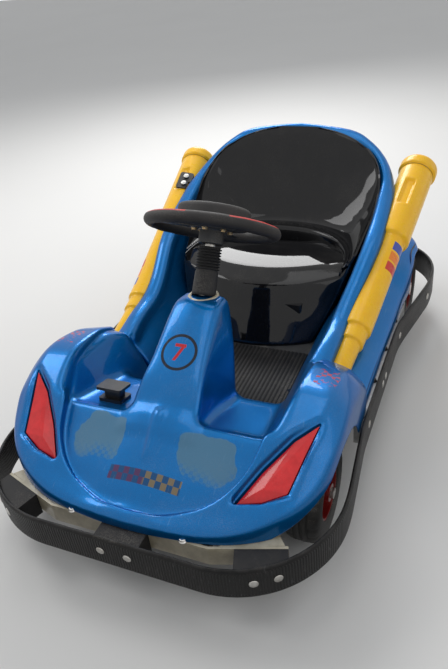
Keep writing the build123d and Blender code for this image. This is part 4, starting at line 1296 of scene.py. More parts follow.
def rounded_box_distance(p, q, half_x, low_y, high_y, radius):
    """Signed distance to a rectangle with round corners, centred on p = 0."""
    half_y, middle = (high_y - low_y) / 2, (high_y + low_y) / 2
    dx, dy = np.abs(p) - (half_x - radius), np.abs(q - middle) - (half_y - radius)
    outside = np.hypot(np.maximum(dx, 0), np.maximum(dy, 0))
    return (outside + np.minimum(np.maximum(dx, dy), 0) - radius).astype(np.float32)


def segment_field(X, Y, Z, line, radius):
    """Distance to a bent wire of round section, mirrored with the half grid: |p - q| - r."""
    best = np.full(np.broadcast(X, Y, Z).shape, 1e6, np.float32)
    for (a, b), (ra, rb) in zip(zip(line[:-1], line[1:]), zip(radius[:-1], radius[1:])):
        e = b - a
        t = ((X - a[0]) * e[0] + (Y - a[1]) * e[1] + (Z - a[2]) * e[2]) / (e @ e)
        t = np.clip(t, 0, 1)
        away = (X - a[0] - t * e[0]) ** 2 + (Y - a[1] - t * e[1]) ** 2 + (Z - a[2] - t * e[2]) ** 2
        best = np.minimum(best, np.sqrt(away) - (ra + t * (rb - ra)))
    return best.astype(np.float32)


def grid_axes(xs, ys, zs):
    """The grid lines turned so that they span the grid together."""
    return (a.astype(np.float32) for a in (xs[:, None, None], ys[None, :, None], zs[None, None, :]))


print("a rounded square's corner:", rounded_box_distance(10.0, 10.0, 10, -10, 10, 4).round(2))

# %% [markdown]
# The block's plan is wide below and narrow above, with a smooth change between. It is cut off at
# the rim's height and by the hoop's arch. The cockpit is cut out of it as one rounded shape that
# widens upwards, and the bead is added along its wire.

# %% Rear body: field
REAR_STEP = 4.25
REAR_END = 640
# the height where the plan starts to narrow, and how high the change is
PLAN_CHANGE = (258, 34)
RIM_LEAN = 0.88

xs, ys, zs = field_grid(412, -176, 660, 140, 612, REAR_STEP)
X, Y, Z = grid_axes(xs, ys, zs)
flat_x, flat_y = xs[:, None].astype(np.float32), ys[None, :].astype(np.float32)
block = sections_field(xs, ys, zs, rear_rows, rear_outline)
low_plan = rounded_box_distance(flat_x, flat_y, 400, -900, REAR_END, 150)[:, :, None]
high_plan = rounded_box_distance(flat_x, flat_y, 330, -900, REAR_END, 200)[:, :, None]
share = np.clip((Z - PLAN_CHANGE[0]) / PLAN_CHANGE[1], 0, 1)
block = np.maximum(block, low_plan + (high_plan - low_plan) * share * share * (3 - 2 * share))
rim_z = rows_at(rim_profile, ys)[:, 0].astype(np.float32)
block = np.maximum(block, (Z - rim_z[None, :, None]) * RIM_LEAN)
block = np.maximum(block, plane_distance(xs, zs, mirrored_line(hoop_arch))[:, None, :])
block = blurred(block, 9.0, REAR_STEP)
cockpit = np.stack([rounded_box_distance(flat_x, flat_y, half_x, -900, rear_y, corner)
                    for half_x, rear_y, corner in rows_at(cockpit_rows, zs)], axis=2)
rear = cut_fillet(block, cockpit, 9.0)
bead = wire(bead_line, 34)
bead_field = segment_field(X, Y, Z, bead, rows_at(bead_radius, walked_length(bead))[:, 0])
rear = blurred(add_fillet(rear, bead_field, 15.0), 3.0, REAR_STEP)
rear = cut_fillet(rear, (Y - SEAM - 1.2) * np.ones_like(rear), SEAM_FILLET)
print("rear field:", rear.shape)

# %% [markdown]
# The rear skin is cut like the front one. Its wheel arch is part of a circle round the axle.

# %% Rear body: skin
REAR_AXLE_Y = 495
WHEEL_HEIGHT = 114
REAR_ARCH_RADIUS = 130
REAR_ARCH_INNER = 296


def keep_above_rear_edge(p):
    """Negative above the lower edge, which lies lower under the seat."""
    inner = np.abs(p[:, 0]) < 205
    return np.where(inner & (p[:, 1] < 500), FLOOR_EDGE + 2, LOW_EDGE) - p[:, 2]


def keep_out_of_rear_arch(p):
    """Negative outside the arch's circle, and everywhere nearer to the middle."""
    outside = REAR_ARCH_RADIUS - np.hypot(p[:, 1] - REAR_AXLE_Y, p[:, 2] - WHEEL_HEIGHT)
    return np.minimum(outside, np.abs(p[:, 0]) - REAR_ARCH_INNER)


low = (0.0, ys[0], zs[0])
points, faces, normals = skin_from(rear, low, REAR_STEP, [keep_above_rear_edge, keep_out_of_rear_arch])
body_points, body_faces = lipped(points, faces, normals, np.ones(len(points), bool))
made("body_rear_skin", body_points, body_faces, blue_rear, stands_for="body_rear",
     weld=0)
print("rear body triangles:", len(body_faces))

# %% [markdown]
# ## The seat
#
# The seat is a glossy black tub in two mouldings. The base has a steep front face and a domed top
# with a groove behind it, made as a field like the bodies.

# %% Seat finish and base
SEAT_STEP = 5.0
SEAT_FLOOR = 158.5


def gloss_black():
    """Polished black plastic: smudges change its gloss, and scratches show grey."""
    f = Finish("black_shell")
    dusty, smudge, scratch = worn(f, 0.14, 1.2)
    colour = f.mix(smudge, (0.004, 0.004, 0.005), (0.007, 0.007, 0.008))
    colour = f.mix(f.times(dusty, 0.4), colour, DUST)
    colour = f.mix(f.times(scratch, 0.12), colour, (0.06, 0.06, 0.06))
    rough_value = f.plus(f.times(f.step(smudge, 0.45, 0.8), 0.05), 0.045)
    rough_value = f.plus(rough_value, f.times(dusty, 0.3))
    normal = f.bump(f.noise(48.0, 2.0, 0.5, f.place()), 0.09, 0.001)
    return f.surface(Base_Color=colour, Roughness=rough_value, Normal=normal, Specular_IOR_Level=0.3)


black_gloss = gloss_black()
xs, ys, zs = field_grid(272, 0, 440, 140, 352, SEAT_STEP)
X, Y, Z = grid_axes(xs, ys, zs)
# x and z from the front, then y and z from the side
side_line = [(0, 50), (187, 50), (187, 161), (236, 262), (256, 322), (258, 420), (0, 420)]
front_face = [
    (22, 50), (22, 157), (52, 220), (76, 262), (92, 296), (99, 312), (160, 331), (230, 336),
    (290, 334), (340, 324), (418, 290), (500, 280), (500, 50),
]
pad_edge_rows = [(0, 298), (50, 289), (134, 252), (230, 192), (270, 160)]
swept_back = Y - 78 * (X / 230) ** 2
along_side = outline_distance(swept_back, Z * np.ones_like(swept_back), front_face)
base = np.maximum(plane_distance(xs, zs, mirrored_line(side_line))[:, None, :], along_side)
base = np.maximum(base, (Z - 336 + 0 * X) * 0.9)
base = np.maximum(base, Y - 424)
base = blurred(base, 6.0, SEAT_STEP)
pad_edge = rows_at(pad_edge_rows, xs)[:, 0].astype(np.float32)
groove = np.maximum(pad_edge[:, None, None] + 2 - Y, (322 - 0.12 * (Y - 300)) - Z)
base = cut_fillet(base, groove, 6.0)
low = (0.0, ys[0], zs[0])
points, faces, normals = skin_from(base, low, SEAT_STEP, [lambda p: SEAT_FLOOR - p[:, 2]])
base_points, base_faces = lipped(points, faces, normals, np.ones(len(points), bool), 1.5, 8.0)
made("seat_base_shell", base_points, base_faces, black_gloss, stands_for="seat_base",
     weld=0)
print("seat base:", len(base_faces), "triangles")

# %% [markdown]
# The back is a sheet that rises from a rolled lip round the base, follows the body's bead and ends
# just under the hoop. Every row of it is half of a superellipse, x^2.35 + y^2.35 = 1, stretched
# between its two edge points and its middle.

# %% Seat back
SHEET_THICKNESS = 5.0
ROUNDNESS = 2.35

# x, y and z of the edge, y and z of the middle
seat_rows = [
    (229, 183, 285, 414, 280),
    (231, 186, 312, 418, 312),
    (233, 188, 326, 421, 325),
    (237, 194, 334, 428, 332),
    (242, 204, 333, 438, 333),
    (248, 222, 330, 452, 331),
    (256, 258, 340, 474, 338),
    (263, 300, 360, 488, 354),
    (270, 340, 383, 503, 378),
    (276, 376, 402, 516, 402),
    (281, 412, 428, 530, 430),
    (280, 446, 451, 542, 455),
    (273, 492, 478, 554, 484),
    (256, 530, 505, 565, 515),
    (224, 562, 534, 575, 544),
    (180, 586, 558, 587, 566),
    (122, 600, 576, 600, 580),
    (66, 606, 586, 607, 588),
]
row_count, column_count = ((90, 121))
places = np.linspace(0, len(seat_rows) - 1, row_count)
numbered = [(k, *row) for k, row in enumerate(seat_rows)]
edge_x, edge_y, edge_z, mid_y, mid_z = rows_at(numbered, places).T
t = np.linspace(-math.pi / 2, math.pi / 2, column_count)
power = 2 / ROUNDNESS
across = np.sign(np.sin(t)) * np.abs(np.sin(t)) ** power
deep = np.abs(np.cos(t)) ** power
sheet = np.stack([
    edge_x[:, None] * across,
    edge_y[:, None] + (mid_y - edge_y)[:, None] * deep,
    edge_z[:, None] + (mid_z - edge_z)[:, None] * deep**0.8,
], axis=2)


def thick_sheet(grid, thickness):
    """A closed sheet: the grid of points, its copy set back along the normals, and the border."""
    rows, columns = grid.shape[:2]
    normal = unit(np.cross(np.gradient(grid, axis=0), np.gradient(grid, axis=1)))
    back = grid - normal * thickness
    points = np.concatenate([grid.reshape(-1, 3), back.reshape(-1, 3)])
    top = grid_faces(rows, columns)
    n = rows * columns
    number = np.arange(n).reshape(rows, columns)
    border = np.concatenate([number[0, :-1], number[:-1, -1], number[-1, :0:-1], number[:0:-1, 0]])
    after = np.roll(border, -1)
    wall = np.stack([after, border, border + n, after + n], axis=1)
    return points, np.concatenate([top[:, ::-1], (top + n), wall[:, ::-1]])


seat_points, seat_faces = thick_sheet(sheet, -SHEET_THICKNESS)
seat_back = made("seat_back_shell", seat_points, seat_faces, black_gloss, stands_for="seat_back")
bevelled(seat_back, 2.0, 2, 50)
print("seat back:", len(seat_faces), "faces")

# %% [markdown]
# ## The steering
#
# Round the leaning column come a cream collar on the console's head and a rubber sleeve with folds
# along its upper half. All but the collar is placed by how far it lies along the column's axis, how
# far behind it and how far beside it.

# %% Steering column
COLUMN_TILT = math.radians(34.4)
column_base = np.array([0.0, -178.5, 429.4])
column_axis = np.array([0.0, math.sin(COLUMN_TILT), math.cos(COLUMN_TILT)])
column_rear = np.array([0.0, math.cos(COLUMN_TILT), -math.sin(COLUMN_TILT)])
RIM_HEIGHT = 167.0
FOLDS = 8


def column_point(along, rearward=0.0, across=0.0):
    """A point given by its distances along, behind and beside the column's axis."""
    return column_base + column_axis * along + column_rear * rearward + np.array([across, 0.0, 0.0])


def on_column(profile, spokes):
    """A profile turned about the column."""
    return turned(profile, spokes, column_base, column_axis)


sleeve = [(6.0, 24.0), (6.0, 29.5), (14.0, 28.6), (60.0, 27.5)]
for s in np.linspace(0, 1, 65):
    sleeve.append((66 + 53 * s, 27.2 + 2.4 * math.sin(2 * math.pi * FOLDS * s - math.pi / 2)))
sleeve += [(120.4, 26.5), (120.6, 20.0)]
points, faces = on_column(sleeve, 64)
made("column_sleeve_boot", points, faces, rubber, stands_for="column_sleeve")

angle = np.linspace(0, 2 * math.pi, 65)[:-1]
collar_path = np.column_stack([
    31.5 * np.cos(angle), -177.0 + 35.0 * np.sin(angle), 434.5 - 6.0 * np.sin(angle),
])
collar_section = [
    (-5.0, -7.0), (5.0, -7.0), (5.2, 1.0), (4.2, 3.0), (2.2, 4.0), (-1.5, 4.0), (-3.8, 3.0),
    (-5.0, 1.0),
]
points, faces = swept(collar_path, collar_section)
made("column_collar_ring", points, faces, plain["cream_paint"], stands_for="column_collar")
print("sleeve of", FOLDS, "folds and its collar made")

# %% [markdown]
# The rim is a ring of foam that swells a little along its way. Its red stripe arcs are painted from
# two numbers kept on its points: how far inside an arc a point lies, and how far round the section
# from the stripe. Both are measured the short way round, so that they don't jump anywhere.

# %% Steering rim
RIM_RADIUS = 147.5
FOAM_RADIUS = 15.0
RIM_STEPS, SECTION_STEPS = 144, 32
# middle and half length of each red arc, in degrees round the rim
RED_ARCS = ((218, 52), (1, 55), (110, 22))
# where the stripe's middle lies, in degrees round the foam's section: 0 is outwards, 90 is up
STRIPE_AT = 82


def turned_away(angle, centre):
    """How many degrees an angle lies from a centre, the short way round."""
    return np.abs((angle - centre + 180) % 360 - 180)


def striped_foam():
    """Closed-cell foam with worn red stripe arcs on its upper face."""
    f = Finish("rim_foam")
    dusty, smudge, _ = worn(f, 0.25)
    within_arc = f.step(f.kept("arc"), -0.6, 0.6)
    within_band = f.step(f.kept("band"), 34.5, 37.5, 1.0, 0.0)
    nick = f.step(f.noise(60.0, 4.0, 0.7, f.place()), 0.33, 0.42)
    colour = f.mix(f.step(smudge, 0.35, 0.7), (0.010, 0.009, 0.009), (0.018, 0.016, 0.016))
    colour = f.mix(f.times(within_arc, within_band, nick), colour, (0.50, 0.018, 0.012))
    colour = f.mix(dusty, colour, DUST)
    normal = f.bump(f.noise(2400.0, 3.0, 0.6, f.place()), 0.5, 0.0004)
    return f.surface(Base_Color=colour, Roughness=f.plus(0.5, f.times(smudge, 0.2)), Normal=normal,
                     Specular_IOR_Level=0.35)


turn_angle = np.linspace(0, 2 * math.pi, RIM_STEPS + 1)[:-1]
section_angle = np.linspace(0, 2 * math.pi, SECTION_STEPS + 1)[:-1]
around_rim, round_section = np.meshgrid(turn_angle, section_angle, indexing="ij")
swell = FOAM_RADIUS + 0.25 * np.sin(9 * around_rim) + 0.2 * np.sin(17 * around_rim + 1.3)
reach = RIM_RADIUS + swell * np.cos(round_section)
rim_points = (column_point(RIM_HEIGHT) + (swell * np.sin(round_section))[..., None] * column_axis
              + (reach * np.cos(around_rim))[..., None] * np.array([1.0, 0, 0])
              + (reach * np.sin(around_rim))[..., None] * column_rear)
rim_faces = grid_faces(RIM_STEPS, SECTION_STEPS, around=True, along=True)
arcs = [half - turned_away(np.degrees(around_rim), centre) for centre, half in RED_ARCS]
band = turned_away(np.degrees(round_section), STRIPE_AT)
rim = made("steering_rim_foam", rim_points.reshape(-1, 3), rim_faces[:, ::-1], striped_foam(),
           body="steering", stands_for="steering_rim", weld=0,
           values={"arc": np.max(arcs, axis=0), "band": band})
print("rim:", len(rim_faces), "quads")

# %% [markdown]
# Over the hub lies a thick round pad with a dimple. The hub is a turned boss with three flat
# spokes, and six bolt heads sit on the underside of its flange.

# %% Pad, hub and hub bolts
HUB_BOLT_CIRCLE = 43
BOLT_SEAT = 161.0

pad_profile = [(167.4, 20), (167.4, 83), (169.0, 86), (172.0, 87)]
for a in np.radians(np.linspace(0, 84, 9)):
    pad_profile.append((204.6 + 10.4 * math.sin(a), 76.6 + 10.4 * math.cos(a)))
pad_profile += [
    (215.2, 60), (215.4, 30), (215.2, 12), (214.2, 9.6), (211.0, 8.6), (206.0, 8.0), (205.4, 6.5),
    (205.2, 0.05),
]
points, faces = on_column(pad_profile, 96)
pad = made("steering_pad_cover", points, faces, foam, body="steering", stands_for="steering_pad")

boss_profile = [
    (127, 6), (127, 27), (129, 30), (158, 30), (161, 33), (161.2, 50), (162.2, 52), (166.4, 52),
    (166.9, 50), (166.9, 6),
]
spoke = [
    (30, -17), (60, -14), (100, -12.5), (137, -12.5), (137, 12.5), (100, 12.5), (60, 14), (30, 17),
]
parts = [on_column(boss_profile, 64)]
for degrees in (90, 210, 330):
    a = math.radians(degrees)
    outward = np.array([math.cos(a), 0, 0]) + math.sin(a) * column_rear
    parts.append(slab(spoke, 162.2, 166.9, 1.2, column_base, outward, column_axis))
points, faces = joined_meshes(parts)
hub = made("steering_hub_plate", points, faces, plain["dark_paint"], body="steering",
           stands_for="steering_hub")
bevelled(hub, 0.5, 2, 40)

bolt_profile = [
    (-5.4, 0.05), (-5.4, 5.0), (-4.8, 5.8), (-0.8, 5.8), (-0.4, 8.2), (0, 8.4), (0.4, 0.05),
]
places = []
for a in np.radians(np.arange(6) * 60 + 30):
    spot = column_point(BOLT_SEAT, HUB_BOLT_CIRCLE * math.sin(a), HUB_BOLT_CIRCLE * math.cos(a))
    places.append((spot, column_axis))
points, faces = copies(*turned(bolt_profile, 12), places)
made("hub_bolts", points, faces, plain["brassy_zinc"], body="steering")
print("hub bolts:", len(places))

# %% [markdown]
# ## The side tubes
#
# A thick yellow tube leans up each side. It runs straight, bends softly at a knee, and steps up in
# radius from a thin foot to a wide upper part with a cap.

# %% Side tubes: centre line and radius
BEND = 70.0
tube_start = np.array([302.0, -158, 214])
tube_knee = np.array([317.0, 43, 252])
tube_end = np.array([371.0, 652, 470])
knee_out, knee_in = unit(tube_end - tube_knee), unit(tube_knee - tube_start)
upper_length = float(np.linalg.norm(tube_end - tube_knee))
lower_length = float(np.linalg.norm(tube_knee - tube_start))
tube_top = upper_length - 22
sparse = 4.0


def axis_point(s):
    """The tube's centre line at distance s from the knee, which is rounded as a parabola."""
    s = s[:, None]
    straight = np.where(s < 0, tube_knee + knee_in * s, tube_knee + knee_out * s)
    t = np.clip((s + BEND) / (2 * BEND), 0, 1)
    first, last = tube_knee - knee_in * BEND, tube_knee + knee_out * BEND
    soft = (1 - t) ** 2 * first + 2 * t * (1 - t) * tube_knee + t**2 * last
    return np.where(np.abs(s) < BEND, soft, straight)


def axis_tangent(s):
    """Its direction there, turning evenly over the knee."""
    t = np.clip((s + BEND) / (2 * BEND), 0, 1)[:, None]
    return unit(knee_in * (1 - t) + knee_out * t)


# distance along the upper axis from the knee (negative below it), radius
radius_rows = [
    (-lower_length, 20.0), (-lower_length + 1, 25.0), (-lower_length + 5, 28.5), (-68, 28.5),
    (-66, 32.0), (-63, 34.0), (-22, 34.0), (-19, 35.5), (-17, 38.6), (-13, 40.0), (302, 40.0),
    (306, 41.0), (309, 48.4), (315, 50.0), (tube_top - 43, 50.0), (tube_top - 41, 48.0),
    (tube_top - 40, 48.0), (tube_top - 38, 54.5), (tube_top - 34, 56.0), (tube_top - 14, 56.0),
    (tube_top - 8, 54.6), (tube_top - 4, 52.0), (tube_top - 1, 47.0), (tube_top, 42.0),
    (tube_top + 0.1, 37.0), (tube_top - 3.0, 35.0), (tube_top - 3.2, 0.3),
]
stations = [radius_rows[0]]
for (a, ra), (b, rb) in zip(radius_rows[:-1], radius_rows[1:]):
    steps = max(1, int(abs(b - a) / sparse))
    stations += [(a + (b - a) * k / steps, ra + (rb - ra) * k / steps) for k in range(1, steps + 1)]
along, radius = np.array(stations).T
print("side tube:", round(lower_length + tube_top), "mm long,", len(stations), "rings")

# %% [markdown]
# Each ring stands square to the centre line. A grip pocket is pressed into the upper side by
# shrinking the radius over a soft-edged patch of length and angle.

# %% Side tubes: skin
SPOKES = 112
POCKET_DEPTH = 9.0
# middle, half size and soft edge of the pocket, along the tube in mm and round it in degrees
POCKET_ALONG = (470, 52, 8)
POCKET_TURN = (84, 19, 6)


def soft_patch(value, middle, half, edge):
    """1 round the middle, falling as 3t^2 - 2t^3 over the soft edge to 0 at half from it."""
    t = np.clip((half - np.abs(value - middle)) / edge, 0, 1)
    return t**2 * (3 - 2 * t)


spin = np.arange(SPOKES) * 2 * math.pi / SPOKES
tangent = axis_tangent(along)
outward = unit(np.cross(tangent, np.broadcast_to((0, 0, 1.0), tangent.shape)))
outward *= np.sign(outward[:, :1])
upward = np.cross(outward, tangent)
upward *= np.sign(upward[:, 2:])
turn = np.degrees(spin)[None, :]
pocket = POCKET_DEPTH * soft_patch(along, *POCKET_ALONG)[:, None] * soft_patch(turn, *POCKET_TURN)
real_radius = radius[:, None] - pocket
tube_points = (axis_point(along)[:, None] + (real_radius * np.cos(spin))[..., None] * outward[:, None]
               + (real_radius * np.sin(spin))[..., None] * upward[:, None])
tube_faces = grid_faces(len(along), SPOKES, around=True)
print("pocket pressed in by", round(float(pocket.max()), 1), "mm")

# %% [markdown]
# Every point keeps how far along and at which angle round the tube it lies, and the three stripes
# and the dark joint line below the cap are painted from those.

# %% Side tubes: paint and objects
STRIPE_SPACING = 36.0
STRIPE_HALF = 15.0
STRIPE_TONES = ((0.62, 0.02, 0.02), (0.90, 0.22, 0.01), (0.01, 0.06, 0.42))
CAP_JOINT = tube_top - 40.5


def tube_paint():
    """Yellow plastic with three stripes, a joint line, faded clouds, dust and scratches."""
    f = Finish("yellow_tube")
    dusty, smudge, scratch = worn(f, 0.55, 1.3)
    mark = f.kept("mark")
    fade = f.noise(46.0, 4.0, 0.65, f.place())
    yellow = f.mix(f.step(smudge, 0.3, 0.75), (1.0, 0.56, 0.0), (0.96, 0.50, 0.0))
    colour = f.mix(f.times(f.step(fade, 0.66, 0.80), 0.18), yellow, (0.70, 0.36, 0.03))
    sides = f.step(f.kept("turn"), 61.2, 62.8, 1.0, 0.0)
    for k, tone in enumerate(STRIPE_TONES):
        stripe = f.times(near(f, mark, (k - 1) * STRIPE_SPACING, STRIPE_HALF, 0.8), sides)
        colour = f.mix(f.times(stripe, 0.97), colour, tone)
    joint = f.times(near(f, f.kept("along"), CAP_JOINT, 1.2, 0.8), 0.6)
    colour = f.mix(joint, colour, (0.02, 0.018, 0.012))
    colour = f.mix(f.times(dusty, 0.2), colour, DUST)
    colour = f.mix(f.times(scratch, 0.2), colour, (0.66, 0.42, 0.10))
    normal = f.bump(f.noise(90.0, 2.0, 0.5, f.place()), 0.10, 0.0006)
    return f.surface(Base_Color=colour, Roughness=f.plus(f.times(smudge, 0.22), 0.18), Normal=normal,
                     Coat_Weight=0.15, Coat_Roughness=0.06, Specular_IOR_Level=0.35)


yellow = tube_paint()
shape = real_radius.shape
for side, sign in (("left", 1), ("right", -1)):
    mark = along - 232 if sign > 0 else 75 - along
    values = {"along": np.broadcast_to(along[:, None], shape),
              "mark": np.broadcast_to(mark[:, None], shape),
              "turn": np.broadcast_to(turned_away(turn, -6), shape)}
    made(f"side_tube_{side}_shell", tube_points.reshape(-1, 3) * (sign, 1, 1),
         tube_faces if sign > 0 else tube_faces[:, ::-1], yellow,
         stands_for=f"side_tube_{side}", weld=0, values=values)
print("side tubes:", len(tube_faces), "quads each")

# %% [markdown]
# ## The rubber belt
#
# A tall, thin rubber belt stands all round the kart. Its section has a rounded lip at the top, and
# its outer face has fine upright ribs that fade out towards the back. The ribs are counted both
# ways from the middle of the back, so that their wave doesn't jump where the line closes.

# %% Belt and its ribs
BELT_FOOT = 98.0
RIB_SPACING = 6.4


def ribbed_rubber():
    """Black rubber: front ribs, painted highlights on rib crests and top lip (the lip also worn), dust,
    scratches.
    """
    f = Finish("ribbed_belt_rubber")
    dusty, smudge, scratch = worn(f, 0.2)
    place = f.place()
    x, y, z = f.apart(place)
    wave = f.math("SINE", f.times(f.kept("rib"), 2 * math.pi))
    upright = f.times(f.step(z, 0.166, 0.170, 1.0, 0.0), f.step(z, 0.104, 0.107))
    ribs = f.times(wave, upright, f.step(y, -0.36, -0.30, 1.0, 0.0))
    colour = f.mix(f.step(smudge, 0.35, 0.7), (0.006, 0.006, 0.006), (0.012, 0.011, 0.011))
    # The top lip is painted lighter in noisy patches: partly wear, partly a painted highlight along the top
    # edge.
    lip_wear_and_highlight = f.times(f.step(z, 0.172, 0.1775), f.step(f.noise(24.0, 4.0, 0.6, place), 0.35, 0.6))
    colour = f.mix(f.times(lip_wear_and_highlight, 0.30), colour, (0.060, 0.058, 0.057))
    # The rib crests are painted a little lighter: a painted highlight.
    colour = f.mix(f.times(f.times(wave, upright), 0.10, clamp=True), colour, (0.05, 0.05, 0.05))
    colour = f.mix(dusty, colour, DUST)
    colour = f.mix(f.times(scratch, 0.4), colour, (0.09, 0.09, 0.09))
    height = f.plus(ribs, f.times(f.noise(900.0, 3.0, 0.6, place), 0.5))
    return f.surface(Base_Color=colour, Roughness=f.plus(f.times(smudge, 0.2), 0.34),
                     Normal=f.bump(height, 0.75, 0.0009), Specular_IOR_Level=0.18)


# x, y and radius of the corners of the left half, from the front middle to the back middle
belt_half = [
    (0, -710, 0), (422, -710, 240), (422, -440, 500), (404, -240, 500), (404, 190, 500),
    (451, 440, 300), (451, 710, 205), (0, 710, 0),
]
half_line = rounded_line(belt_half, 7.0)
belt_line = np.concatenate([half_line[:-1], (half_line * (-1, 1))[::-1][:-1]])
belt_path = np.column_stack([belt_line, np.full(len(belt_line), BELT_FOOT)])
# depth inwards from the outer line, height over the belt's foot
section = [
    (2.5, 2.5), (3.0, 0.8), (4.6, 0), (9.5, 0), (11.3, 0.7), (12, 2.5), (12, 71), (11.6, 75),
    (10.5, 78), (9.0, 79.6), (7.2, 80), (5.4, 79.6), (3.9, 78), (2.8, 75), (2.5, 71),
]
section = np.array([(-x, z) for x, z in section])
points, faces = swept(belt_path, section)
line_length = walked_length(belt_line)
total_length = float(line_length[-1] + np.linalg.norm(belt_line[0] - belt_line[-1]))
from_the_back = np.abs(line_length - total_length / 2) / RIB_SPACING
rib_number = np.broadcast_to(from_the_back[:, None], (len(belt_line), len(section)))
made("bumper_belt_rubber", points, faces, ribbed_rubber(), stands_for="bumper_belt",
     weld=0, values={"rib": rib_number})
print("belt length:", round(total_length), "mm")

# %% [markdown]
# Round-headed bolts, most of them in pairs, hold the belt, and small bolts with a washer hold the
# rails and the front bar. The belt's heads are sunk a little, so that none stands out further than
# the belt of the CAD model.

# %% Bolts of the belt and the bars
HEAD_SUNK = 2.45
RAIL_TOP = 166.3


def on_belt(x, y):
    """The nearest spot of the belt's outer line and the direction out of it."""
    k = int(np.argmin(np.hypot(belt_line[:, 0] - x, belt_line[:, 1] - y)))
    along_belt = unit(belt_line[(k + 1) % len(belt_line)] - belt_line[k - 1])
    outside = np.array([along_belt[1], -along_belt[0]])
    if outside @ belt_line[k] < 0:
        outside = -outside
    return belt_line[k], outside


# height over the outer face, radius
head = [
    (-6, 3.0), (-0.8, 3.0), (-0.1, 9.6), (0.5, 9.7), (1.2, 8.6), (1.8, 6.6), (2.2, 3.8),
    (2.35, 0.05),
]
belt_bolts = [
    (-33, -710, 138), (28, -710, 138), (292, -690, 138), (337, -668, 138), (-292, -690, 138),
    (-337, -668, 138), (404, -194, 144), (404, -35, 140), (404, 6, 140), (-404, -194, 144),
    (-404, -35, 140), (-404, 6, 140), (404, 190, 140), (-404, 190, 140), (451, 420, 138),
    (-451, 420, 138), (160, 710, 138), (215, 710, 138), (-160, 710, 138), (-215, 710, 138),
]
places = []
for x, y, z in belt_bolts:
    spot, outside = on_belt(x, y)
    places.append(((*(spot - outside * HEAD_SUNK), z), (*outside, 0)))
points, faces = copies(*turned(head, 24), places)
made("belt_bolt_heads", points, faces, steel, weld=0)
print("belt bolts:", len(places))

washer_bolt_profile = [
    (-4, 4.0), (0.0, 4.0), (0.0, 9.0), (1.6, 9.2), (1.9, 7.6), (6.4, 7.2), (7.6, 6.2), (7.9, 3.0),
    (7.0, 2.8), (7.0, 0.05),
]
rail_spots = [(side * 382, y) for side in (1, -1) for y in (-200, -60, 80, 220, 310)]
for name, finish, slot, spots in (
    ("side_rail_bolts", plain["black_plastic"], "black_plastic", rail_spots),
    ("front_bar_bolts", steel, "steel", [(131, -652), (-131, -652)]),
):
    places = [((x, y, RAIL_TOP), (0, 0, 1)) for x, y in spots]
    points, faces = copies(*turned(washer_bolt_profile, 12), places)
    made(name, points, faces, finish, weld=0)
    print(name + ":", len(places))

# %% [markdown]
# ## Tyres
#
# The tyres have a square shoulder, three grooves and notches in the shoulder. They are mostly
# hidden, but show through the side arches. All four share one profile.

# %% Tyres
TYRE_SPOKES = 192
NOTCH_DEPTH = 2.6
NOTCH_EVERY, NOTCH_WIDE = 8, 2
WHEELS = [
    ("front_tyre_left", "left_front_wheel", (325, -400, WHEEL_HEIGHT)),
    ("front_tyre_right", "right_front_wheel", (-325, -400, WHEEL_HEIGHT)),
    ("rear_tyre_left", "rear_wheels", (345, REAR_AXLE_Y, WHEEL_HEIGHT)),
    ("rear_tyre_right", "rear_wheels", (-345, REAR_AXLE_Y, WHEEL_HEIGHT)),
]
# distance from the tyre's middle plane, radius
half_rows = [
    (-34.0, 62.5), (-37.0, 64.0), (-38.6, 70), (-39.7, 82), (-39.6, 92), (-38.0, 101),
    (-35.5, 106.5), (-32.0, 110.0), (-28.0, 111.6), (-20.0, 112.8), (-16.5, 113.2),
    (-16.0, 110.4), (-13.0, 110.4), (-12.5, 113.4), (-1.8, 113.8), (-1.5, 110.6),
]
tyre_profile = np.array(half_rows + [(-h, r) for h, r in half_rows[::-1]])
notched = (np.arange(TYRE_SPOKES) % NOTCH_EVERY < NOTCH_WIDE)[None, :]
shoulder = (np.abs(tyre_profile[:, 0]) > 16.2) & (tyre_profile[:, 1] > 106)
for tyre_name, wheel_body, centre in WHEELS:
    sign = math.copysign(1, centre[0])
    points = turned(tyre_profile, TYRE_SPOKES, axis=(1, 0, 0), across=(0, 0, 1))[0]
    grid = points.reshape(len(tyre_profile), TYRE_SPOKES, 3)
    radial = np.hypot(grid[..., 1], grid[..., 2])
    shrink = np.where(notched & shoulder[:, None], (radial - NOTCH_DEPTH) / radial, 1.0)
    grid[..., 1:] *= shrink[..., None]
    points = grid.reshape(-1, 3) * (sign, 1, 1) + centre
    faces = grid_faces(len(tyre_profile), TYRE_SPOKES, around=True)
    if sign < 0:
        faces = faces[:, ::-1]
    made(f"{tyre_name}_tread", points, faces, plain["tyre_rubber"], body=wheel_body,
         stands_for=tyre_name, weld=0)
print("tyre quads:", len(faces))

# %% [markdown]
# ## Floor mat and switch buttons
#
# The mat lies ribbed on the pan. On the right-hand tube's small panel sit two metal buttons.

# %% Floor mat
MAT_TOP = 159.6
MAT_RIB = 11.0
ridges = np.linspace(-189, 189, 379)
height = MAT_TOP + 1.2 * np.clip(np.sin(ridges * 2 * math.pi / MAT_RIB) * 2.2, -1, 1)
mat_rows = np.array([-248, -247.4, 16.4, 17])
drop = np.array([1.2, 0, 0, 1.2])
surface = height[None, :] - drop[:, None]
mat_grid = np.stack(np.broadcast_arrays(ridges[None, :], mat_rows[:, None], surface), axis=2)
points, faces = thick_sheet(mat_grid[:, ::-1], -1.2)
made("floor_mat_ribbed", points, faces, rubber, stands_for="floor_mat", weld=0)
print("mat quads:", len(faces))

# %% [markdown]
# The buttons are placed by the right-hand tube's upper axis, which is the left one's mirror image.

# %% Switch buttons
PANEL_ALONG, PANEL_AWAY = 455, 58
BUTTON_APART = 16


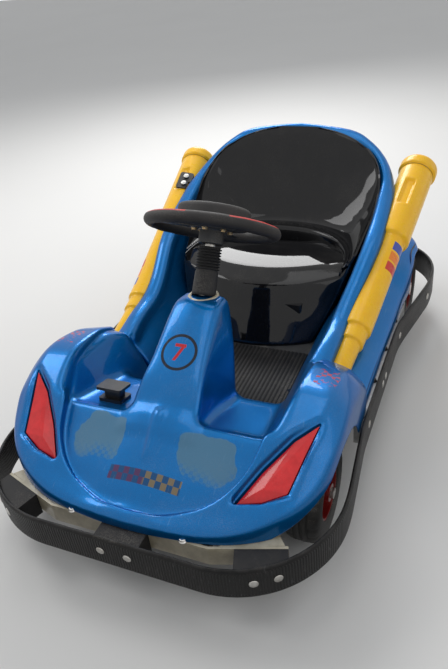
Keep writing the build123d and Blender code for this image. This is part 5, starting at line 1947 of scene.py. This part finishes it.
def panel_metal():
    """Bare bright metal with smudges and dust."""
    f = Finish("button_metal")
    dusty, smudge, _ = worn(f, 0.3, 2.0)
    colour = f.mix(smudge, (0.60, 0.60, 0.58), (0.42, 0.42, 0.40))
    rough_value = f.plus(f.times(smudge, 0.15), 0.22)
    return f.surface(Base_Color=f.mix(dusty, colour, DUST), Metallic=1.0, Roughness=rough_value)


upper_axis = knee_out * (-1, 1, 1)
panel_out = np.array([0.2, -0.3, 0.9])
panel_out = unit(panel_out - upper_axis * (panel_out @ upper_axis))
panel_spot = tube_knee * (-1, 1, 1) + upper_axis * PANEL_ALONG + panel_out * PANEL_AWAY
button_profile = [
    (0.05, 8.6), (0.9, 8.6), (1.5, 7.8), (1.2, 6.6), (1.2, 6.0), (2.4, 5.4), (2.8, 3.0), (2.9, 0.05),
]
places = [(panel_spot + upper_axis * k, panel_out) for k in (-BUTTON_APART, BUTTON_APART)]
points, faces = copies(*turned(button_profile, 32), places)
made("switch_buttons", points, faces, panel_metal(), weld=0)
print("buttons:", len(places))

# %% [markdown]
# ## The remaining CAD pieces
#
# Frame, rails, bars, wheels' rims and the other plain pieces are shown as the CAD model has them.
# Each of their material slots gets the finish of the same name.

# %% Materials of the remaining CAD pieces
finishes = dict(plain, steel=steel, tyre=plain["tyre_rubber"], black_shell=black_gloss,
                blue_shell=blue_rear, yellow_tube=yellow, red_lens=lens_finish)
dressed = 0
for thing in bpy.data.objects:
    if thing.type != "MESH" or thing.name not in nodes:
        continue
    for holder in thing.material_slots:
        name = holder.material.name.split(".")[0] if holder.material else ""
        if name in finishes and holder.material is not finishes[name]:
            holder.material = finishes[name]
            dressed += 1
print("CAD slots dressed:", dressed)

# %% [markdown]
# ## Room, light and camera
#
# The kart stands on a plain pale floor. The background is white to the camera and in reflections,
# while a softer grey lights the scene, so that pale surfaces don't clip.

# %% Floor and background
FLOOR_REACH = 9
corners = [(-1, -1), (1, -1), (1, 1), (-1, 1)]
floor_mesh = bpy.data.meshes.new("studio_floor")
floor_mesh.from_pydata([(x * FLOOR_REACH, y * FLOOR_REACH, 0) for x, y in corners], [], [(0, 1, 2, 3)])
floor_object = bpy.data.objects.new("studio_floor", floor_mesh)
scene.collection.objects.link(floor_object)
f = Finish("studio_floor")
tone = f.mix(f.noise(1.3, 3.0, 0.5, f.place()), (0.80, 0.79, 0.77), (0.76, 0.75, 0.73))
floor_mesh.materials.append(f.surface(Base_Color=tone, Roughness=0.75))

scene.world = bpy.data.worlds.new("studio")
scene.world.use_nodes = True
studio = Finish("studio", scene.world.node_tree)
ray = studio.add("LightPath").node.outputs
seen = studio.greatest(ray["Is Camera Ray"], ray["Is Glossy Ray"], ray["Is Transmission Ray"])
soft = studio.add("Background", {0: (0.93, 0.96, 1.0, 1), 1: 0.42})
white = studio.add("Background", {0: (1, 1, 1, 1), 1: 1.0})
studio.add("OutputWorld", {0: studio.add("MixShader", {0: seen, 1: soft, 2: white})})
print("world nodes:", len(studio.tree.nodes))

# %% [markdown]
# Four rectangular lamps light the kart: a key from its right, a weaker fill from its left, a strong
# one from behind that runs along the edges, and a soft one from above. A lamp shines along its own
# -Z, so its Z axis points back from its target.

# %% Lamps


def stood(thing, right, up, back, spot):
    """Puts a lamp or camera at a spot, with its own X, Y and Z axes along three directions."""
    matrix = np.eye(4)
    matrix[:3, 0], matrix[:3, 1], matrix[:3, 2], matrix[:3, 3] = right, up, back, spot
    thing.matrix_world = Matrix(matrix)


# name, power in watts, size in metres, place, target
LAMPS = (
    ("key", 26.0, (1.3, 1.3), (-2.4, 0.1, 2.6), (0, 0, 0.3)),
    ("fill", 10.0, (2.4, 1.6), (2.6, -1.0, 1.9), (0, 0, 0.3)),
    ("back", 44.0, (1.45, 1.1), (-0.95, 2.5, 2.05), (0, 0.2, 0.3)),
    ("top", 12.0, (1.2, 2.6), (0.2, 0.1, 3.1), (0, 0, 0)),
)
for name, energy, size, spot, target in LAMPS:
    lamp = bpy.data.lights.new(name, "AREA")
    lamp.shape = "RECTANGLE"
    lamp.size, lamp.size_y = size
    lamp.energy = energy
    lamp_object = bpy.data.objects.new(name, lamp)
    scene.collection.objects.link(lamp_object)
    back = unit(np.array(spot, float) - np.array(target, float))
    right = unit(np.cross((0, 0, 1.0) if abs(back[2]) < 0.99 else (0, 1.0, 0), back))
    stood(lamp_object, right, np.cross(back, right), back, spot)
print("lamps:", len(LAMPS))

# %% [markdown]
# The camera looks down on the kart from the front and its left, as in the photograph. Its heading,
# its dip and a slight roll are angles in radians.

# %% Camera
YAW, PITCH, ROLL = 0.462, 0.592, -0.124
CAMERA_SPOT = (0.632354, -1.3641, 1.22187)
ahead = np.array([-math.sin(YAW) * math.cos(PITCH), math.cos(YAW) * math.cos(PITCH), -math.sin(PITCH)])
level_right = np.array([math.cos(YAW), math.sin(YAW), 0])
level_up = np.cross(level_right, ahead)
camera_data = bpy.data.cameras.new("camera")
camera_data.lens = 35.4
camera_data.sensor_width = 36
camera_data.sensor_fit = "AUTO"
camera = bpy.data.objects.new("camera", camera_data)
scene.collection.objects.link(camera)
stood(camera, math.cos(ROLL) * level_right + math.sin(ROLL) * level_up,
      -math.sin(ROLL) * level_right + math.cos(ROLL) * level_up, -ahead, CAMERA_SPOT)
scene.camera = camera
scene.view_settings.view_transform = "Standard"
print("camera heading:", round(math.degrees(YAW)), "degrees, dip:", round(math.degrees(PITCH)), "degrees")
